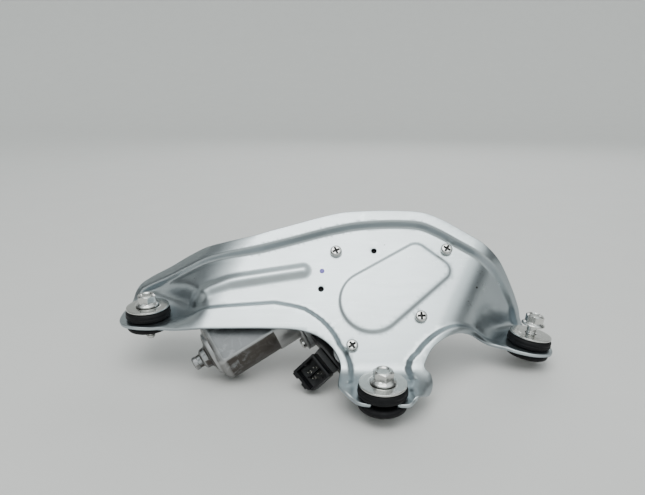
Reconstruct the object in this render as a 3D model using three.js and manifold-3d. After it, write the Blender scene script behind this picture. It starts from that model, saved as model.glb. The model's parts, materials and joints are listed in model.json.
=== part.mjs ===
// Rear wiper motor assembly: a pressed steel bracket with three rubber-mounted ears, a cast gear
// housing screwed to its back, and a permanent-magnet motor whose worm drives the output spindle
// through a worm wheel, a crank, a link and a lever. Millimetres, +Z up, lying on its bench side.
import * as THREE from "three";
import { mergeVertices } from "three/addons/utils/BufferGeometryUtils.js";
import Module from "manifold-3d";

const wasm = await Module();
wasm.setup();

// ---- driving dimensions ----------------------------------------------------------------------
const DEG = Math.PI / 180;
const GAP = 0.3; // air between two pieces that touch on the real part
const LEAN = 52; // degrees between the bracket's main face and the bench
const FOLD = 50; // degrees between the main face and the two outer ears and the front ear
const ORIGIN_HEIGHT = 14.4; // height of the foot of the main face over the bench
const CENTRE_X = 9.16; // middle of the whole part, measured in the plate frame's x
const CENTRE_Y = 41.97; // middle of the whole part, measured from the foot of the main face

const SHEET = 2.0; // bracket sheet thickness
const RIM_WALL = 4.0; // run of the sloping wall inside the raised rim
const LEFT_BEND = { u: -61, s: 66.4, nu: -0.889, ns: 0.459, slope: -0.8, blend: 14 };
const RIGHT_BEND = { u: 94.7, s: 60.6, nu: 0.89, ns: -0.453, slope: -1.25, blend: 13 };
const FOOT_BLEND = 5; // softness of the bend between the main face and the front ear
const PADS = {
  left: { u: -105, s: 37.4, w: -16.7, slopeU: 0.03, slopeS: -Math.tan(FOLD * DEG) },
  centre: { u: 31, s: -13.4, w: 15.97, slopeU: 0, slopeS: -Math.tan(FOLD * DEG) },
  right: { u: 127.8, s: 24.4, w: -32.9, slopeU: -0.27, slopeS: -1.35 },
};
const PAD_INNER = 15.5; // flat radius of an ear's seat
const PAD_OUTER = 40; // radius where the seat has blended into the arm
const FRONT_BLEND = 12; // the front ear's seat meets the right arm's slope over this run
const SEAT_CLEAR = 13.9; // the rim stays outside this radius round each ear's bolt

// Edge of the bracket, anticlockwise from the left ear: u, s, rim width, rim height.
const EDGE = [
  [-121.5, 34, 5, 0], [-118, 30.5, 5, 0], [-110, 28, 6, 0.3], [-97, 27, 8, 1.5], [-82, 25.2, 12, 3.5],
  [-68, 24.6, 15, 4.5], [-28, 24.6, 18, 4.5], [-13, 23.6, 15.5, 4.5], [-2.6, 20.1, 11, 4.5],
  [5.8, 13, 6.8, 4.5], [9.8, 4, 7.6, 4.5], [8.6, -3, 9, 4.5], [8.2, -8, 9, 4], [11.4, -12, 8, 3],
  [14.2, -14.6, 7, 1.5], [17.6, -17.8, 4, 0.3], [22.5, -19.2, 4, 0], [37.5, -19.4, 4, 0],
  [44, -19.2, 5, 0.5], [47.6, -15.6, 8, 3.5], [51.4, -14.4, 13, 4.5], [57.5, -12.5, 14.5, 4.5],
  [59.9, -7, 16, 4.5], [59.2, -0.8, 15, 4.5], [56, 3.2, 11, 4.5], [58, 8.7, 8, 4.5], [61.6, 14, 7, 4.5],
  [69.4, 19.6, 7, 4.5], [77.6, 22.8, 7, 4.5], [85.5, 23.6, 6.5, 4], [95, 23.2, 6, 3], [104, 21.6, 5, 1.5],
  [116.5, 17, 5, 0.5],
  [128, 14.8, 5, 0], [139, 16.8, 5, 0], [142.5, 22, 5, 0], [141, 31, 5, 0], [136.5, 40, 6, 1],
  [129.5, 47.5, 7, 3.5], [122.5, 56, 8, 4.5], [112, 66.4, 9, 4.5], [100, 74.6, 10, 4.5], [86, 84, 10.4, 4.5],
  [72.5, 92.6, 10.6, 4.5], [61.5, 97.2, 10.5, 4.5], [46, 98.6, 10.5, 4.5], [26.8, 98.4, 11, 4.5],
  [10.6, 97, 12, 4.5], [-25, 87, 11.5, 4.5], [-42.5, 82, 11, 4.5], [-58, 80.2, 11, 4.5], [-73, 79.6, 12, 4.5],
  [-84, 77, 12, 4.5], [-97, 72.6, 11, 4.5], [-112, 68.8, 10, 4.5], [-119.5, 65.4, 9, 4.2], [-122.8, 61, 8, 3],
  [-124, 54, 7, 1], [-124, 44, 5, 0],
];

const WHEEL_AT = new THREE.Vector2(28.5, 42); // worm wheel axis on the main face
const SPINDLE_ANGLE = 34; // direction of the spindle from the wheel
const SPINDLE_DISTANCE = 36; // wheel axis to spindle axis
const MOTOR_ANGLE = 32.7; // direction of the motor shaft on the main face
const MOTOR_DEPTH = 17.6; // motor axis under the main face
const MODULE = 0.95; // worm and wheel module
const WHEEL_TEETH = 48;
const WORM_PITCH_RADIUS = 5.2;
const WHEEL_PITCH_RADIUS = (MODULE * WHEEL_TEETH) / 2;
const CRANK = 10.5; // throw of the crank, and of the lever it drives
const PARK = -106; // direction of crank and lever at rest
const SPINDLE_RADIUS = 4;
const SPINDLE_TIP = -99.1; // lower end of the spindle, under the main face

const SCREWS = [[8.1, 72.8], [74.5, 74.1], [56.5, 32.5], [16.6, 15.7]]; // cover screws
const GAUGE_HOLES = [[31, 73.5], [-0.9, 49.4]]; // two small holes in the main face
const GAUGE_RADIUS = 1.5;

const CAN_RADIUS = 18.9; // round sides of the motor can
const CAN_FLAT = 15; // half height over its two flats
const CAN_WALL = 1.2;
const CAN_BACK = -92.5; // closed end, along the motor axis from the worm's middle
const CAN_STEP = -56; // where the can widens
const CAN_MOUTH = -42; // open end with its flange
const BOSS_END = -105.5;

const WASHER_RADIUS = 12.5; // flanged sleeve in each grommet
const RUBBER_RADIUS = 13.2;
const RUBBER_ABOVE = 6;
const RUBBER_BELOW = 4.6;
const GROOVE_RADIUS = 6.1; // waist of the grommet, in the ear's hole
const EAR_HOLE = 6.4;
const SLEEVE_FLANGE = 1.5;
const SLEEVE_OUT = 4.4;
const SLEEVE_IN = 3.4;
const BOLT_LENGTH = 21.4; // M6 shank under the flange
const BOLT_RAISED = { left: GAP, centre: GAP, right: 5.5 };

// ---- solids and meshes -----------------------------------------------------------------------
function volumeOf(geometry) {
  const p = geometry.attributes.position;
  const index = geometry.index.array;
  const [a, b, c] = [new THREE.Vector3(), new THREE.Vector3(), new THREE.Vector3()];
  let sum = 0;
  for (let i = 0; i < index.length; i += 3) {
    a.fromBufferAttribute(p, index[i]);
    b.fromBufferAttribute(p, index[i + 1]);
    c.fromBufferAttribute(p, index[i + 2]);
    sum += a.dot(b.cross(c));
  }
  return sum / 6;
}

// A manifold solid of a closed geometry, turned to face out.
function solid(geometry) {
  const bare = new THREE.BufferGeometry();
  bare.setAttribute("position", geometry.attributes.position.clone());
  if (geometry.index) bare.setIndex(geometry.index.clone());
  const merged = mergeVertices(bare, 1e-4);
  const triVerts = new Uint32Array(merged.index.array);
  if (volumeOf(merged) < 0) triVerts.reverse();
  return new wasm.Manifold(
    new wasm.Mesh({ numProp: 3, vertProperties: merged.attributes.position.array, triVerts }),
  );
}

function geometryOf(body) {
  const mesh = body.getMesh();
  const geometry = new THREE.BufferGeometry();
  geometry.setAttribute("position", new THREE.BufferAttribute(new Float32Array(mesh.vertProperties), 3));
  geometry.setIndex(new THREE.BufferAttribute(new Uint32Array(mesh.triVerts), 1));
  geometry.computeVertexNormals();
  return geometry;
}

const join = (...bodies) => bodies.reduce((sum, body) => sum.add(body));
const cut = (body, ...tools) => tools.reduce((rest, tool) => rest.subtract(tool), body);

// A solid of revolution about z: corners are [radius, z].
function turned(corners, segments = 18) {
  const profile = corners.map(([r, z]) => new THREE.Vector2(r, z));
  const onAxis = corners[0][0] === 0 && corners[corners.length - 1][0] === 0;
  if (!onAxis) profile.push(profile[0].clone());
  return new THREE.LatheGeometry(profile, segments).rotateX(Math.PI / 2);
}

const rod = (radius, z0, z1, segments = 18) =>
  turned([[0, z0], [radius, z0], [radius, z1], [0, z1]], segments);
const ring = (outer, inner, z0, z1, segments = 18) =>
  turned([[inner, z0], [outer, z0], [outer, z1], [inner, z1]], segments);
const box = (x0, x1, y0, y1, z0, z1) =>
  new THREE.BoxGeometry(x1 - x0, y1 - y0, z1 - z0).translate((x0 + x1) / 2, (y0 + y1) / 2, (z0 + z1) / 2);
const at = (geometry, x, y, z = 0) => geometry.translate(x, y, z);
const alongX = (geometry) => geometry.rotateY(Math.PI / 2); // z of a turned piece becomes x

function prism(points, z0, z1) {
  const shape = new THREE.Shape(points.map((p) => (p.isVector2 ? p : new THREE.Vector2(...p))));
  const geometry = new THREE.ExtrudeGeometry(shape, { depth: z1 - z0, bevelEnabled: false });
  return geometry.translate(0, 0, z0);
}

// Outline of a belt laid round circles given as [x, y, radius].
function beltOutline(circles, segments = 24) {
  const cloud = circles.flatMap(([x, y, r]) =>
    Array.from({ length: segments }, (_, i) => {
      const angle = (i / segments) * 2 * Math.PI;
      return [x + r * Math.cos(angle), y + r * Math.sin(angle)];
    }),
  );
  cloud.sort((a, b) => a[0] - b[0] || a[1] - b[1]);
  const turn = (o, a, b) => (a[0] - o[0]) * (b[1] - o[1]) - (a[1] - o[1]) * (b[0] - o[0]);
  const half = (points) => {
    const chain = [];
    for (const p of points) {
      while (chain.length > 1 && turn(chain.at(-2), chain.at(-1), p) <= 1e-9) chain.pop();
      chain.push(p);
    }
    return chain.slice(0, -1);
  };
  return [...half(cloud), ...half([...cloud].reverse())];
}

const FINISH = {
  zinc: { color: 0xc9ced0, roughness: 0.38, metalness: 1 },
  bright: { color: 0xd8dadb, roughness: 0.2, metalness: 1 },
  steel: { color: 0x8f9294, roughness: 0.4, metalness: 1 },
  canSteel: { color: 0x77787a, roughness: 0.35, metalness: 1 },
  cast: { color: 0xa3a6a8, roughness: 0.6, metalness: 1 },
  rubber: { color: 0x161717, roughness: 0.8, metalness: 0 },
  black: { color: 0x131415, roughness: 0.35, metalness: 0 },
  acetal: { color: 0xe4e0d4, roughness: 0.5, metalness: 0 },
  copper: { color: 0xb0653a, roughness: 0.35, metalness: 1 },
  brass: { color: 0xc2a35c, roughness: 0.35, metalness: 1 },
  bronze: { color: 0xa0784a, roughness: 0.55, metalness: 1 },
  ferrite: { color: 0x3a3b3d, roughness: 0.7, metalness: 0 },
  carbon: { color: 0x2a2a2b, roughness: 0.6, metalness: 0 },
  paper: { color: 0x4b4d50, roughness: 0.8, metalness: 0 },
};

function piece(name, shape, finish) {
  const geometry = shape.isBufferGeometry ? geometryOf(solid(shape)) : geometryOf(shape);
  const mesh = new THREE.Mesh(geometry, new THREE.MeshStandardMaterial(FINISH[finish]));
  mesh.name = name;
  return mesh;
}

function frame(x, y, z, turnZ = 0) {
  const group = new THREE.Group();
  group.position.set(x, y, z);
  group.rotation.z = turnZ;
  return group;
}

// ---- the pressed sheet -----------------------------------------------------------------------
const ease = (t) => {
  const x = Math.min(Math.max(t, 0), 1);
  return x * x * (3 - 2 * x);
};
const lesser = (a, b, k) => Math.min(a, b) - (Math.max(k - Math.abs(a - b), 0) ** 2 * 0.25) / k;
const greater = (a, b, k) => -lesser(-a, -b, k);

// Rounded edge with its rim width and rim height at each point.
const edgeCurve = new THREE.CatmullRomCurve3(
  EDGE.map(([u, s]) => new THREE.Vector3(u, s, 0)), true, "centripetal",
);
const EDGE_STEPS = 2; // samples between two edge points
const edgeLine = EDGE.flatMap((_, i) =>
  Array.from({ length: EDGE_STEPS }, (__, j) => {
    const next = EDGE[(i + 1) % EDGE.length];
    const t = j / EDGE_STEPS;
    const p = edgeCurve.getPoint((i + t) / EDGE.length);
    return {
      u: p.x, s: p.y,
      rim: EDGE[i][2] * (1 - t) + next[2] * t,
      rise: EDGE[i][3] * (1 - t) + next[3] * t,
    };
  }),
);

// Nearest place on a polyline: distance, and the values carried there.
function nearest(line, u, s, closed) {
  let best = { distance: Infinity };
  for (let i = 0; i < line.length - (closed ? 0 : 1); i++) {
    const a = line[i];
    const b = line[(i + 1) % line.length];
    const [du, ds] = [b.u - a.u, b.s - a.s];
    const t = Math.min(Math.max(((u - a.u) * du + (s - a.s) * ds) / (du * du + ds * ds), 0), 1);
    const distance = Math.hypot(u - a.u - t * du, s - a.s - t * ds);
    if (distance < best.distance)
      best = { distance, rim: a.rim + (b.rim - a.rim) * t, rise: a.rise + (b.rise - a.rise) * t };
  }
  return best;
}

function insideEdge(u, s) {
  let inside = false;
  edgeLine.forEach((a, i) => {
    const b = edgeLine[(i + 1) % edgeLine.length];
    const crosses = a.s > s !== b.s > s && u < ((b.u - a.u) * (s - a.s)) / (b.s - a.s) + a.u;
    if (crosses) inside = !inside;
  });
  return inside;
}

const acrossBend = (bend, u, s) => (u - bend.u) * bend.nu + (s - bend.s) * bend.ns;

// Distance from an ear's bolt, measured along its sloping seat.
const seatRadius = (pad, u, s) => Math.hypot(u - pad.u, (s - pad.s) / Math.cos(FOLD * DEG));

// Height of the sheet before the rim and the pressings.
function foldHeight(u, s) {
  const fold = greater(0, -Math.tan(FOLD * DEG) * s, FOOT_BLEND);
  let w = fold;
  for (const bend of [LEFT_BEND, RIGHT_BEND]) w = lesser(w, bend.slope * acrossBend(bend, u, s), bend.blend);
  w += (fold - w) * (1 - ease((seatRadius(PADS.centre, u, s) - PAD_INNER) / FRONT_BLEND));
  for (const pad of [PADS.left, PADS.right]) {
    const seat = pad.w + pad.slopeU * (u - pad.u) + pad.slopeS * (s - pad.s);
    const share = ease((seatRadius(pad, u, s) - PAD_INNER) / (PAD_OUTER - PAD_INNER));
    w = w * share + seat * (1 - share);
  }
  return w;
}

const BEAD = [[-11.5, 61], [-33, 57.6], [-55, 54], [-67, 50.4], [-76.5, 45.6]].map(([u, s]) => ({ u, s }));
const BEAD_HALF = 5.8;
const BEAD_HEIGHT = 2.2;
const PANEL = beltOutline(
  [[WHEEL_AT.x, WHEEL_AT.y, 18.4], [56.1, 71.1, 7], [69.1, 61.1, 6.5]], 48,
).map(([u, s]) => ({ u, s }));
const PANEL_RISE = 1.0;
const PANEL_STEP = 1.0; // half width of the step round the raised panel

function insidePanel(u, s) {
  return PANEL.every((a, i) => {
    const b = PANEL[(i + 1) % PANEL.length];
    return (b.u - a.u) * (s - a.s) - (b.s - a.s) * (u - a.u) >= 0;
  });
}

function sheetHeight(u, s) {
  const edge = nearest(edgeLine, u, s, true);
  const depth = insideEdge(u, s) ? edge.distance : 0;
  const clear = Math.min(...Object.values(PADS).map((pad) => seatRadius(pad, u, s))) - SEAT_CLEAR;
  const rim = edge.rise * (1 - ease((depth - edge.rim + RIM_WALL) / RIM_WALL)) * ease(clear / RIM_WALL);
  const bead = BEAD_HEIGHT * (1 - ease(nearest(BEAD, u, s, false).distance / BEAD_HALF));
  const toPanel = nearest(PANEL, u, s, true).distance * (insidePanel(u, s) ? 1 : -1);
  const panel = PANEL_RISE * ease((toPanel + PANEL_STEP) / (2 * PANEL_STEP));
  return foldHeight(u, s) + rim + bead + panel;
}

// Points to hang the sheet's triangles on: dense along the rim, the bead and the panel.
function sheetPoints() {
  const points = [];
  const NUDGE = 0.03; // keeps four points off one circle
  const add = (u, s, clear) => {
    if (points.some((p) => Math.hypot(p[0] - u, p[1] - s) <= clear)) return;
    points.push([u + NUDGE * Math.sin(17 * points.length), s + NUDGE * Math.cos(29 * points.length)]);
  };
  const offsetRing = (line, distance, spacing, clear) => {
    line.forEach((a, i) => {
      const b = line[(i + 1) % line.length];
      const length = Math.hypot(b.u - a.u, b.s - a.s);
      const steps = Math.ceil(length / spacing);
      for (let j = 0; j < steps; j++) {
        const t = (j + 0.5) / steps;
        const inward = distance(a) * (1 - t) + distance(b) * t;
        const u = a.u + (b.u - a.u) * t - ((b.s - a.s) / length) * inward;
        const s = a.s + (b.s - a.s) * t + ((b.u - a.u) / length) * inward;
        if (nearest(line, u, s, true).distance > Math.abs(inward) - 0.4) add(u, s, clear);
      }
    });
  };
  offsetRing(edgeLine, () => -1.6, 8, 4);
  offsetRing(edgeLine, (e) => e.rim, 8.5, 4);
  offsetRing(edgeLine, (e) => e.rim - RIM_WALL, 8.5, 2.6);
  for (const pad of Object.values(PADS)) {
    for (const [radius, count] of [[14.1, 14], [18.5, 14], [26, 12]]) {
      for (let i = 0; i < count; i++) {
        const angle = (i / count) * 2 * Math.PI;
        const u = pad.u + radius * Math.cos(angle);
        const s = pad.s + radius * Math.sin(angle) * Math.cos(FOLD * DEG);
        if (insideEdge(u, s)) add(u, s, 2);
      }
    }
  }
  offsetRing(PANEL, () => PANEL_STEP, 6, 1.2);
  offsetRing(PANEL, () => -PANEL_STEP, 6, 1.2);
  const rows = [0, 0.55, 1.05];
  BEAD.slice(0, -1).forEach((a, i) => {
    const b = BEAD[i + 1];
    const steps = 4;
    const length = Math.hypot(b.u - a.u, b.s - a.s);
    for (let j = 0; j <= steps; j++) {
      for (const side of rows.flatMap((row) => [row, -row])) {
        const shift = (side * BEAD_HALF) / length;
        const u = a.u + ((b.u - a.u) * j) / steps - (b.s - a.s) * shift;
        const s = a.s + ((b.s - a.s) * j) / steps + (b.u - a.u) * shift;
        add(u, s, 2);
      }
    }
  });
  for (const end of [BEAD[0], BEAD.at(-1)]) {
    for (const row of rows) {
      for (let angle = 0; angle < 360; angle += 40) {
        const reach = row * BEAD_HALF;
        add(end.u + reach * Math.cos(angle * DEG), end.s + reach * Math.sin(angle * DEG), 1.4);
      }
    }
  }
  const STEP = 11;
  for (let i = 0; i * STEP < 290; i++) {
    for (let j = 0; j * STEP < 140; j++) {
      const u = -134 + i * STEP + (j % 2) * (STEP / 2);
      const s = -30 + j * STEP;
      if (insideEdge(u, s)) add(u, s, 6);
    }
  }
  const frame = [[-150, -45], [0, -45], [165, -45], [-150, 45], [165, 45], [-150, 125], [0, 125], [165, 125]];
  for (const [u, s] of frame)
    points.push([u, s]);
  return points;
}

// Delaunay triangles of a set of points, added one at a time.
function triangulate(points) {
  const all = [...points, [-4000, -3000], [4000, -3100], [0, 5000]];
  const n = points.length;
  const circle = (a, b, c) => {
    const [ax, ay] = all[a];
    const [bx, by] = [all[b][0] - ax, all[b][1] - ay];
    const [cx, cy] = [all[c][0] - ax, all[c][1] - ay];
    const d = 2 * (bx * cy - by * cx);
    const x = (cy * (bx * bx + by * by) - by * (cx * cx + cy * cy)) / d;
    const y = (bx * (cx * cx + cy * cy) - cx * (bx * bx + by * by)) / d;
    return { corners: [a, b, c], x: ax + x, y: ay + y, r2: x * x + y * y };
  };
  let triangles = [circle(n, n + 1, n + 2)];
  points.forEach(([px, py], p) => {
    const open = new Map();
    const kept = [];
    for (const t of triangles) {
      if ((px - t.x) ** 2 + (py - t.y) ** 2 >= t.r2) {
        kept.push(t);
        continue;
      }
      t.corners.forEach((a, i) => {
        const b = t.corners[(i + 1) % 3];
        const twin = `${b},${a}`;
        if (open.has(twin)) open.delete(twin);
        else open.set(`${a},${b}`, [a, b]);
      });
    }
    for (const [a, b] of open.values()) kept.push(circle(a, b, p));
    triangles = kept;
  });
  return triangles.map((t) => t.corners).filter((t) => t.every((corner) => corner < n));
}

// The sheet: an upper skin on sheetHeight, a lower skin one thickness under it, closed round the rim.
function sheetSolid() {
  const points = sheetPoints();
  const triangles = triangulate(points);
  const d = 0.05;
  const upper = points.map(([u, s]) => new THREE.Vector3(u, s, sheetHeight(u, s)));
  const lower = points.map(([u, s], i) => {
    const slopeU = (sheetHeight(u + d, s) - sheetHeight(u - d, s)) / (2 * d);
    const slopeS = (sheetHeight(u, s + d) - sheetHeight(u, s - d)) / (2 * d);
    const normal = new THREE.Vector3(-slopeU, -slopeS, 1).clampLength(0, 1.8);
    return upper[i].clone().add(new THREE.Vector3(0, 0, -SHEET * normal.length()));
  });
  const position = new Float32Array([...upper, ...lower].flatMap((p) => [p.x, p.y, p.z]));
  const n = points.length;
  const index = [];
  const border = new Map();
  for (const [a, b, c] of triangles) {
    index.push(a, b, c, n + a, n + c, n + b);
    for (const [from, to] of [[a, b], [b, c], [c, a]]) {
      if (border.has(`${to},${from}`)) border.delete(`${to},${from}`);
      else border.set(`${from},${to}`, [from, to]);
    }
  }
  for (const [from, to] of border.values()) index.push(from, n + from, n + to, from, n + to, to);
  const geometry = new THREE.BufferGeometry();
  geometry.setAttribute("position", new THREE.BufferAttribute(position, 3));
  geometry.setIndex(index);
  return solid(geometry);
}

// Frame of an ear: z is square to its seat, the origin is on the seat's upper face.
function earFrame(pad) {
  const group = frame(pad.u, pad.s, pad.w);
  const normal = new THREE.Vector3(-pad.slopeU, -pad.slopeS, 1).normalize();
  group.quaternion.setFromUnitVectors(new THREE.Vector3(0, 0, 1), normal);
  group.updateMatrix();
  return group;
}

function bracketPlate() {
  const outline = prism(edgeLine.map((p) => [p.u, p.s]), -90, 60);
  const screwHoles = SCREWS.map(([u, s]) => [u, s, 2.4]);
  const holes = [...screwHoles, ...GAUGE_HOLES.map(([u, s]) => [u, s, GAUGE_RADIUS])];
  const drills = holes.map(([u, s, r]) => solid(at(rod(r, -20, 20, 20), u, s)));
  const earDrills = Object.values(PADS).map((pad) =>
    solid(rod(EAR_HOLE, -12, 12, 28).applyMatrix4(earFrame(pad).matrix)),
  );
  const slot = box(-EAR_HOLE, EAR_HOLE, -30, 0, -12, 12).applyMatrix4(earFrame(PADS.centre).matrix);
  return cut(sheetSolid().intersect(solid(outline)), ...drills, ...earDrills, solid(slot));
}

// ---- ear hardware ----------------------------------------------------------------------------
function grommet() {
  const top = RUBBER_ABOVE;
  const foot = -SHEET - RUBBER_BELOW;
  const bore = SLEEVE_OUT + 0.3;
  return turned([
    [bore, foot], [RUBBER_RADIUS - 1.2, foot], [RUBBER_RADIUS, foot + 1.2], [RUBBER_RADIUS, -SHEET - 1.4],
    [RUBBER_RADIUS - 1, -SHEET - GAP], [GROOVE_RADIUS, -SHEET - GAP], [GROOVE_RADIUS, GAP],
    [RUBBER_RADIUS - 1, GAP], [RUBBER_RADIUS, 1.4], [RUBBER_RADIUS, top - 1.2], [RUBBER_RADIUS - 1.2, top],
    [bore, top],
  ], 20);
}

function flangedSleeve() {
  const seat = RUBBER_ABOVE + GAP;
  const top = RUBBER_ABOVE + SLEEVE_FLANGE;
  const foot = -SHEET - RUBBER_BELOW;
  return turned([
    [SLEEVE_IN, foot], [SLEEVE_OUT, foot], [SLEEVE_OUT, seat], [WASHER_RADIUS, seat],
    [WASHER_RADIUS, top], [SLEEVE_IN, top],
  ], 24);
}

// M6 flange bolt, head up, z = 0 under the flange.
function flangeBolt() {
  const body = turned([
    [0, -BOLT_LENGTH], [1.9, -BOLT_LENGTH], [2.95, -BOLT_LENGTH + 1.6], [2.95, 0], [6.95, 0], [6.95, 0.9],
    [5.2, 2.1], [0, 2.1],
  ], 20);
  const hex = new THREE.CylinderGeometry(5.75, 5.75, 5.2, 6).rotateX(Math.PI / 2).translate(0, 0, 4.2);
  const chamfer = turned([[0, 1], [6.5, 1], [6.5, 5.6], [4.9, 6.8], [3.7, 6.8], [3.2, 6.2], [0, 6.2]], 20);
  return join(solid(body), solid(hex).intersect(solid(chamfer)));
}

function earHardware(side) {
  const group = earFrame(PADS[side]);
  const bolt = piece(`bolt_${side}`, flangeBolt(), "bright");
  bolt.position.z = RUBBER_ABOVE + SLEEVE_FLANGE + BOLT_RAISED[side];
  bolt.rotation.z = { left: 0.35, centre: 0.12, right: 0.8 }[side];
  group.add(piece(`grommet_${side}`, grommet(), "rubber"));
  group.add(piece(`sleeve_${side}`, flangedSleeve(), "bright"), bolt);
  return group;
}

// ---- gear housing ----------------------------------------------------------------------------
const spindleAt = new THREE.Vector2(SPINDLE_DISTANCE, 0)
  .rotateAround(new THREE.Vector2(), SPINDLE_ANGLE * DEG);
spindleAt.add(WHEEL_AT);
const wormDistance = WHEEL_PITCH_RADIUS + WORM_PITCH_RADIUS;
const motorAt = new THREE.Vector2(0, wormDistance).rotateAround(new THREE.Vector2(), MOTOR_ANGLE * DEG);
motorAt.add(WHEEL_AT);
const motorFrame = frame(motorAt.x, motorAt.y, -MOTOR_DEPTH, MOTOR_ANGLE * DEG);
motorFrame.updateMatrix();
const inMotor = (geometry) => solid(geometry.applyMatrix4(motorFrame.matrix));

const RIM_TOP = -3.3; // joint face of the housing
const FLOOR_IN = -26;
const FLOOR_OUT = -29;
const NECK_END = -66;
const EAR_REACH = 23.8; // motor screws, either side of the motor axis
const FLANGE_BACK = -41.7;
const cavityOutline = (grow) =>
  beltOutline([[WHEEL_AT.x, WHEEL_AT.y, 25.4 + grow], [spindleAt.x, spindleAt.y, 15.6 + grow]]);

const motorFlangeOutline = (radius, ear) =>
  beltOutline([[0, 0, radius], [0, EAR_REACH, ear], [0, -EAR_REACH, ear]]);
const acrossAxis = (points, x0, x1) => alongX(prism(points, x0, x1));

function gearHousing() {
  const shell = solid(prism(cavityOutline(3), FLOOR_OUT, RIM_TOP));
  const bosses = SCREWS.map(([u, s]) => solid(at(rod(4.6, -17, RIM_TOP), u, s)));
  const lobe = solid(prism(beltOutline([[14.2, 13.4, 8], [24, 24, 8]]), -15, RIM_TOP));
  const neck = solid(at(turned([[0, NECK_END], [8.2, NECK_END], [9.6, -34], [12.5, FLOOR_OUT + 0.5], [0, -27]]),
    spindleAt.x, spindleAt.y));
  const tunnel = inMotor(alongX(turned([[0, -38], [17, -38], [12, -26], [10.4, -20], [10.4, 21], [0, 21]])));
  const flange = inMotor(acrossAxis(motorFlangeOutline(20, 5), FLANGE_BACK, -37));
  const trim = solid(box(-60, 120, -30, 130, -38, RIM_TOP));
  const outside = join(shell, ...bosses, lobe, join(tunnel, flange).intersect(trim), neck);

  const cavity = solid(prism(cavityOutline(0), FLOOR_IN, 5));
  const wormBore = inMotor(alongX(rod(7.6, -21, 17)));
  const shaftBore = inMotor(alongX(rod(2.9, -45, 30)));
  const bushSeat = inMotor(alongX(rod(6.3, -31, -20)));
  const brushRoom = inMotor(alongX(turned([[0, -45], [15.5, -45], [15.5, -36.5], [10, -31], [0, -31]])));
  const motorHoles = [-1, 1].map((side) =>
    inMotor(alongX(rod(1.7, -45, -30, 16)).translate(0, side * EAR_REACH, 0)));
  const screwHoles = SCREWS.map(([u, s]) => solid(at(rod(2.3, -15.5, 5, 18), u, s)));
  const neckBore = solid(at(rod(5.2, -70, -20), spindleAt.x, spindleAt.y));
  const bushSeats = [[-37, -20], [-63, -54]].map(([z0, z1]) =>
    solid(at(rod(6.6, z0, z1), spindleAt.x, spindleAt.y)));
  const sealSeat = solid(at(rod(7, -70, -63), spindleAt.x, spindleAt.y));
  const axleHole = solid(at(rod(2.8, -35, -20, 20), WHEEL_AT.x, WHEEL_AT.y));
  return cut(outside, cavity, wormBore, shaftBore, bushSeat, brushRoom, ...motorHoles, ...screwHoles,
    neckBore, ...bushSeats, sealSeat, axleHole);
}

function housingGasket() {
  const [z0, z1] = [RIM_TOP + 0.15, -SHEET - 0.25];
  const lobes = SCREWS.slice(1).map(([u, s]) => solid(at(rod(4.6, z0, z1), u, s)));
  const holes = SCREWS.map(([u, s]) => solid(at(rod(2.4, -10, 5, 18), u, s)));
  const inner = solid(prism(cavityOutline(0.4), -10, 5));
  return cut(join(solid(prism(cavityOutline(2.8), z0, z1)), ...lobes), inner, ...holes);
}

// M4 pan-head screw with a cross recess, z = 0 under the head.
function panScrew() {
  const body = solid(turned([
    [0, -11], [1.5, -11], [1.95, -10], [1.95, 0], [3.5, 0], [3.5, 1.3], [2.9, 2.2], [1.6, 2.6], [0, 2.6],
  ], 16));
  const blade = (turn) => solid(box(-1.9, 1.9, -0.4, 0.4, 1.1, 4).rotateZ(turn));
  return cut(body, blade(0.4), blade(0.4 + Math.PI / 2));
}

// ---- wheel, crank, link and lever ------------------------------------------------------------
const ADDENDUM = 0.8;
const DEDENDUM = 1.15;
const toothPitch = Math.PI * MODULE;
const WHEEL_FACE = 8;

function wormWheel() {
  const pitchAngle = (2 * Math.PI) / WHEEL_TEETH;
  const flank = [[-0.36, -DEDENDUM], [-0.11, ADDENDUM], [0.11, ADDENDUM], [0.36, -DEDENDUM]];
  const teeth = Array.from({ length: WHEEL_TEETH }, (_, i) =>
    flank.map(([share, height]) => {
      const angle = (MOTOR_ANGLE + 90) * DEG + (i + share) * pitchAngle;
      const radius = WHEEL_PITCH_RADIUS + height;
      return [radius * Math.cos(angle), radius * Math.sin(angle)];
    }),
  ).flat();
  const rim = solid(prism(teeth, -MOTOR_DEPTH - WHEEL_FACE / 2, -MOTOR_DEPTH + WHEEL_FACE / 2));
  const hub = solid(rod(5.6, -25, -13.9));
  const crankAt = [CRANK * Math.cos(PARK * DEG), CRANK * Math.sin(PARK * DEG), 0];
  const crankBoss = solid(rod(4.6, -23, -13.5).translate(...crankAt));
  const pinHole = rod(2.8, -23, 0, 20).translate(...crankAt);
  return cut(join(rim, hub, crankBoss), solid(rod(2.8, -30, 0, 24)), solid(pinHole));
}

const pinAt = () => frame(CRANK * Math.cos(PARK * DEG), CRANK * Math.sin(PARK * DEG), 0);

function connectingLink() {
  const end = [
    SPINDLE_DISTANCE * Math.cos(SPINDLE_ANGLE * DEG),
    SPINDLE_DISTANCE * Math.sin(SPINDLE_ANGLE * DEG),
  ];
  const bar = solid(prism(beltOutline([[0, 0, 4.6], [...end, 4.6]], 28), -10, -8));
  const holes = [[0, 0], end].map(([x, y]) => solid(at(rod(2.8, -12, -5, 24), x, y)));
  return cut(bar, ...holes);
}

function outputLever() {
  const tip = [CRANK * Math.cos(PARK * DEG), CRANK * Math.sin(PARK * DEG)];
  const arm = solid(prism(beltOutline([[0, 0, 6.2], [...tip, 4.4]], 28), -13, -10.6));
  return cut(arm, solid(rod(3.3, -20, 0, 24)), solid(at(rod(2.2, -20, 0, 20), ...tip)));
}

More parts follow.
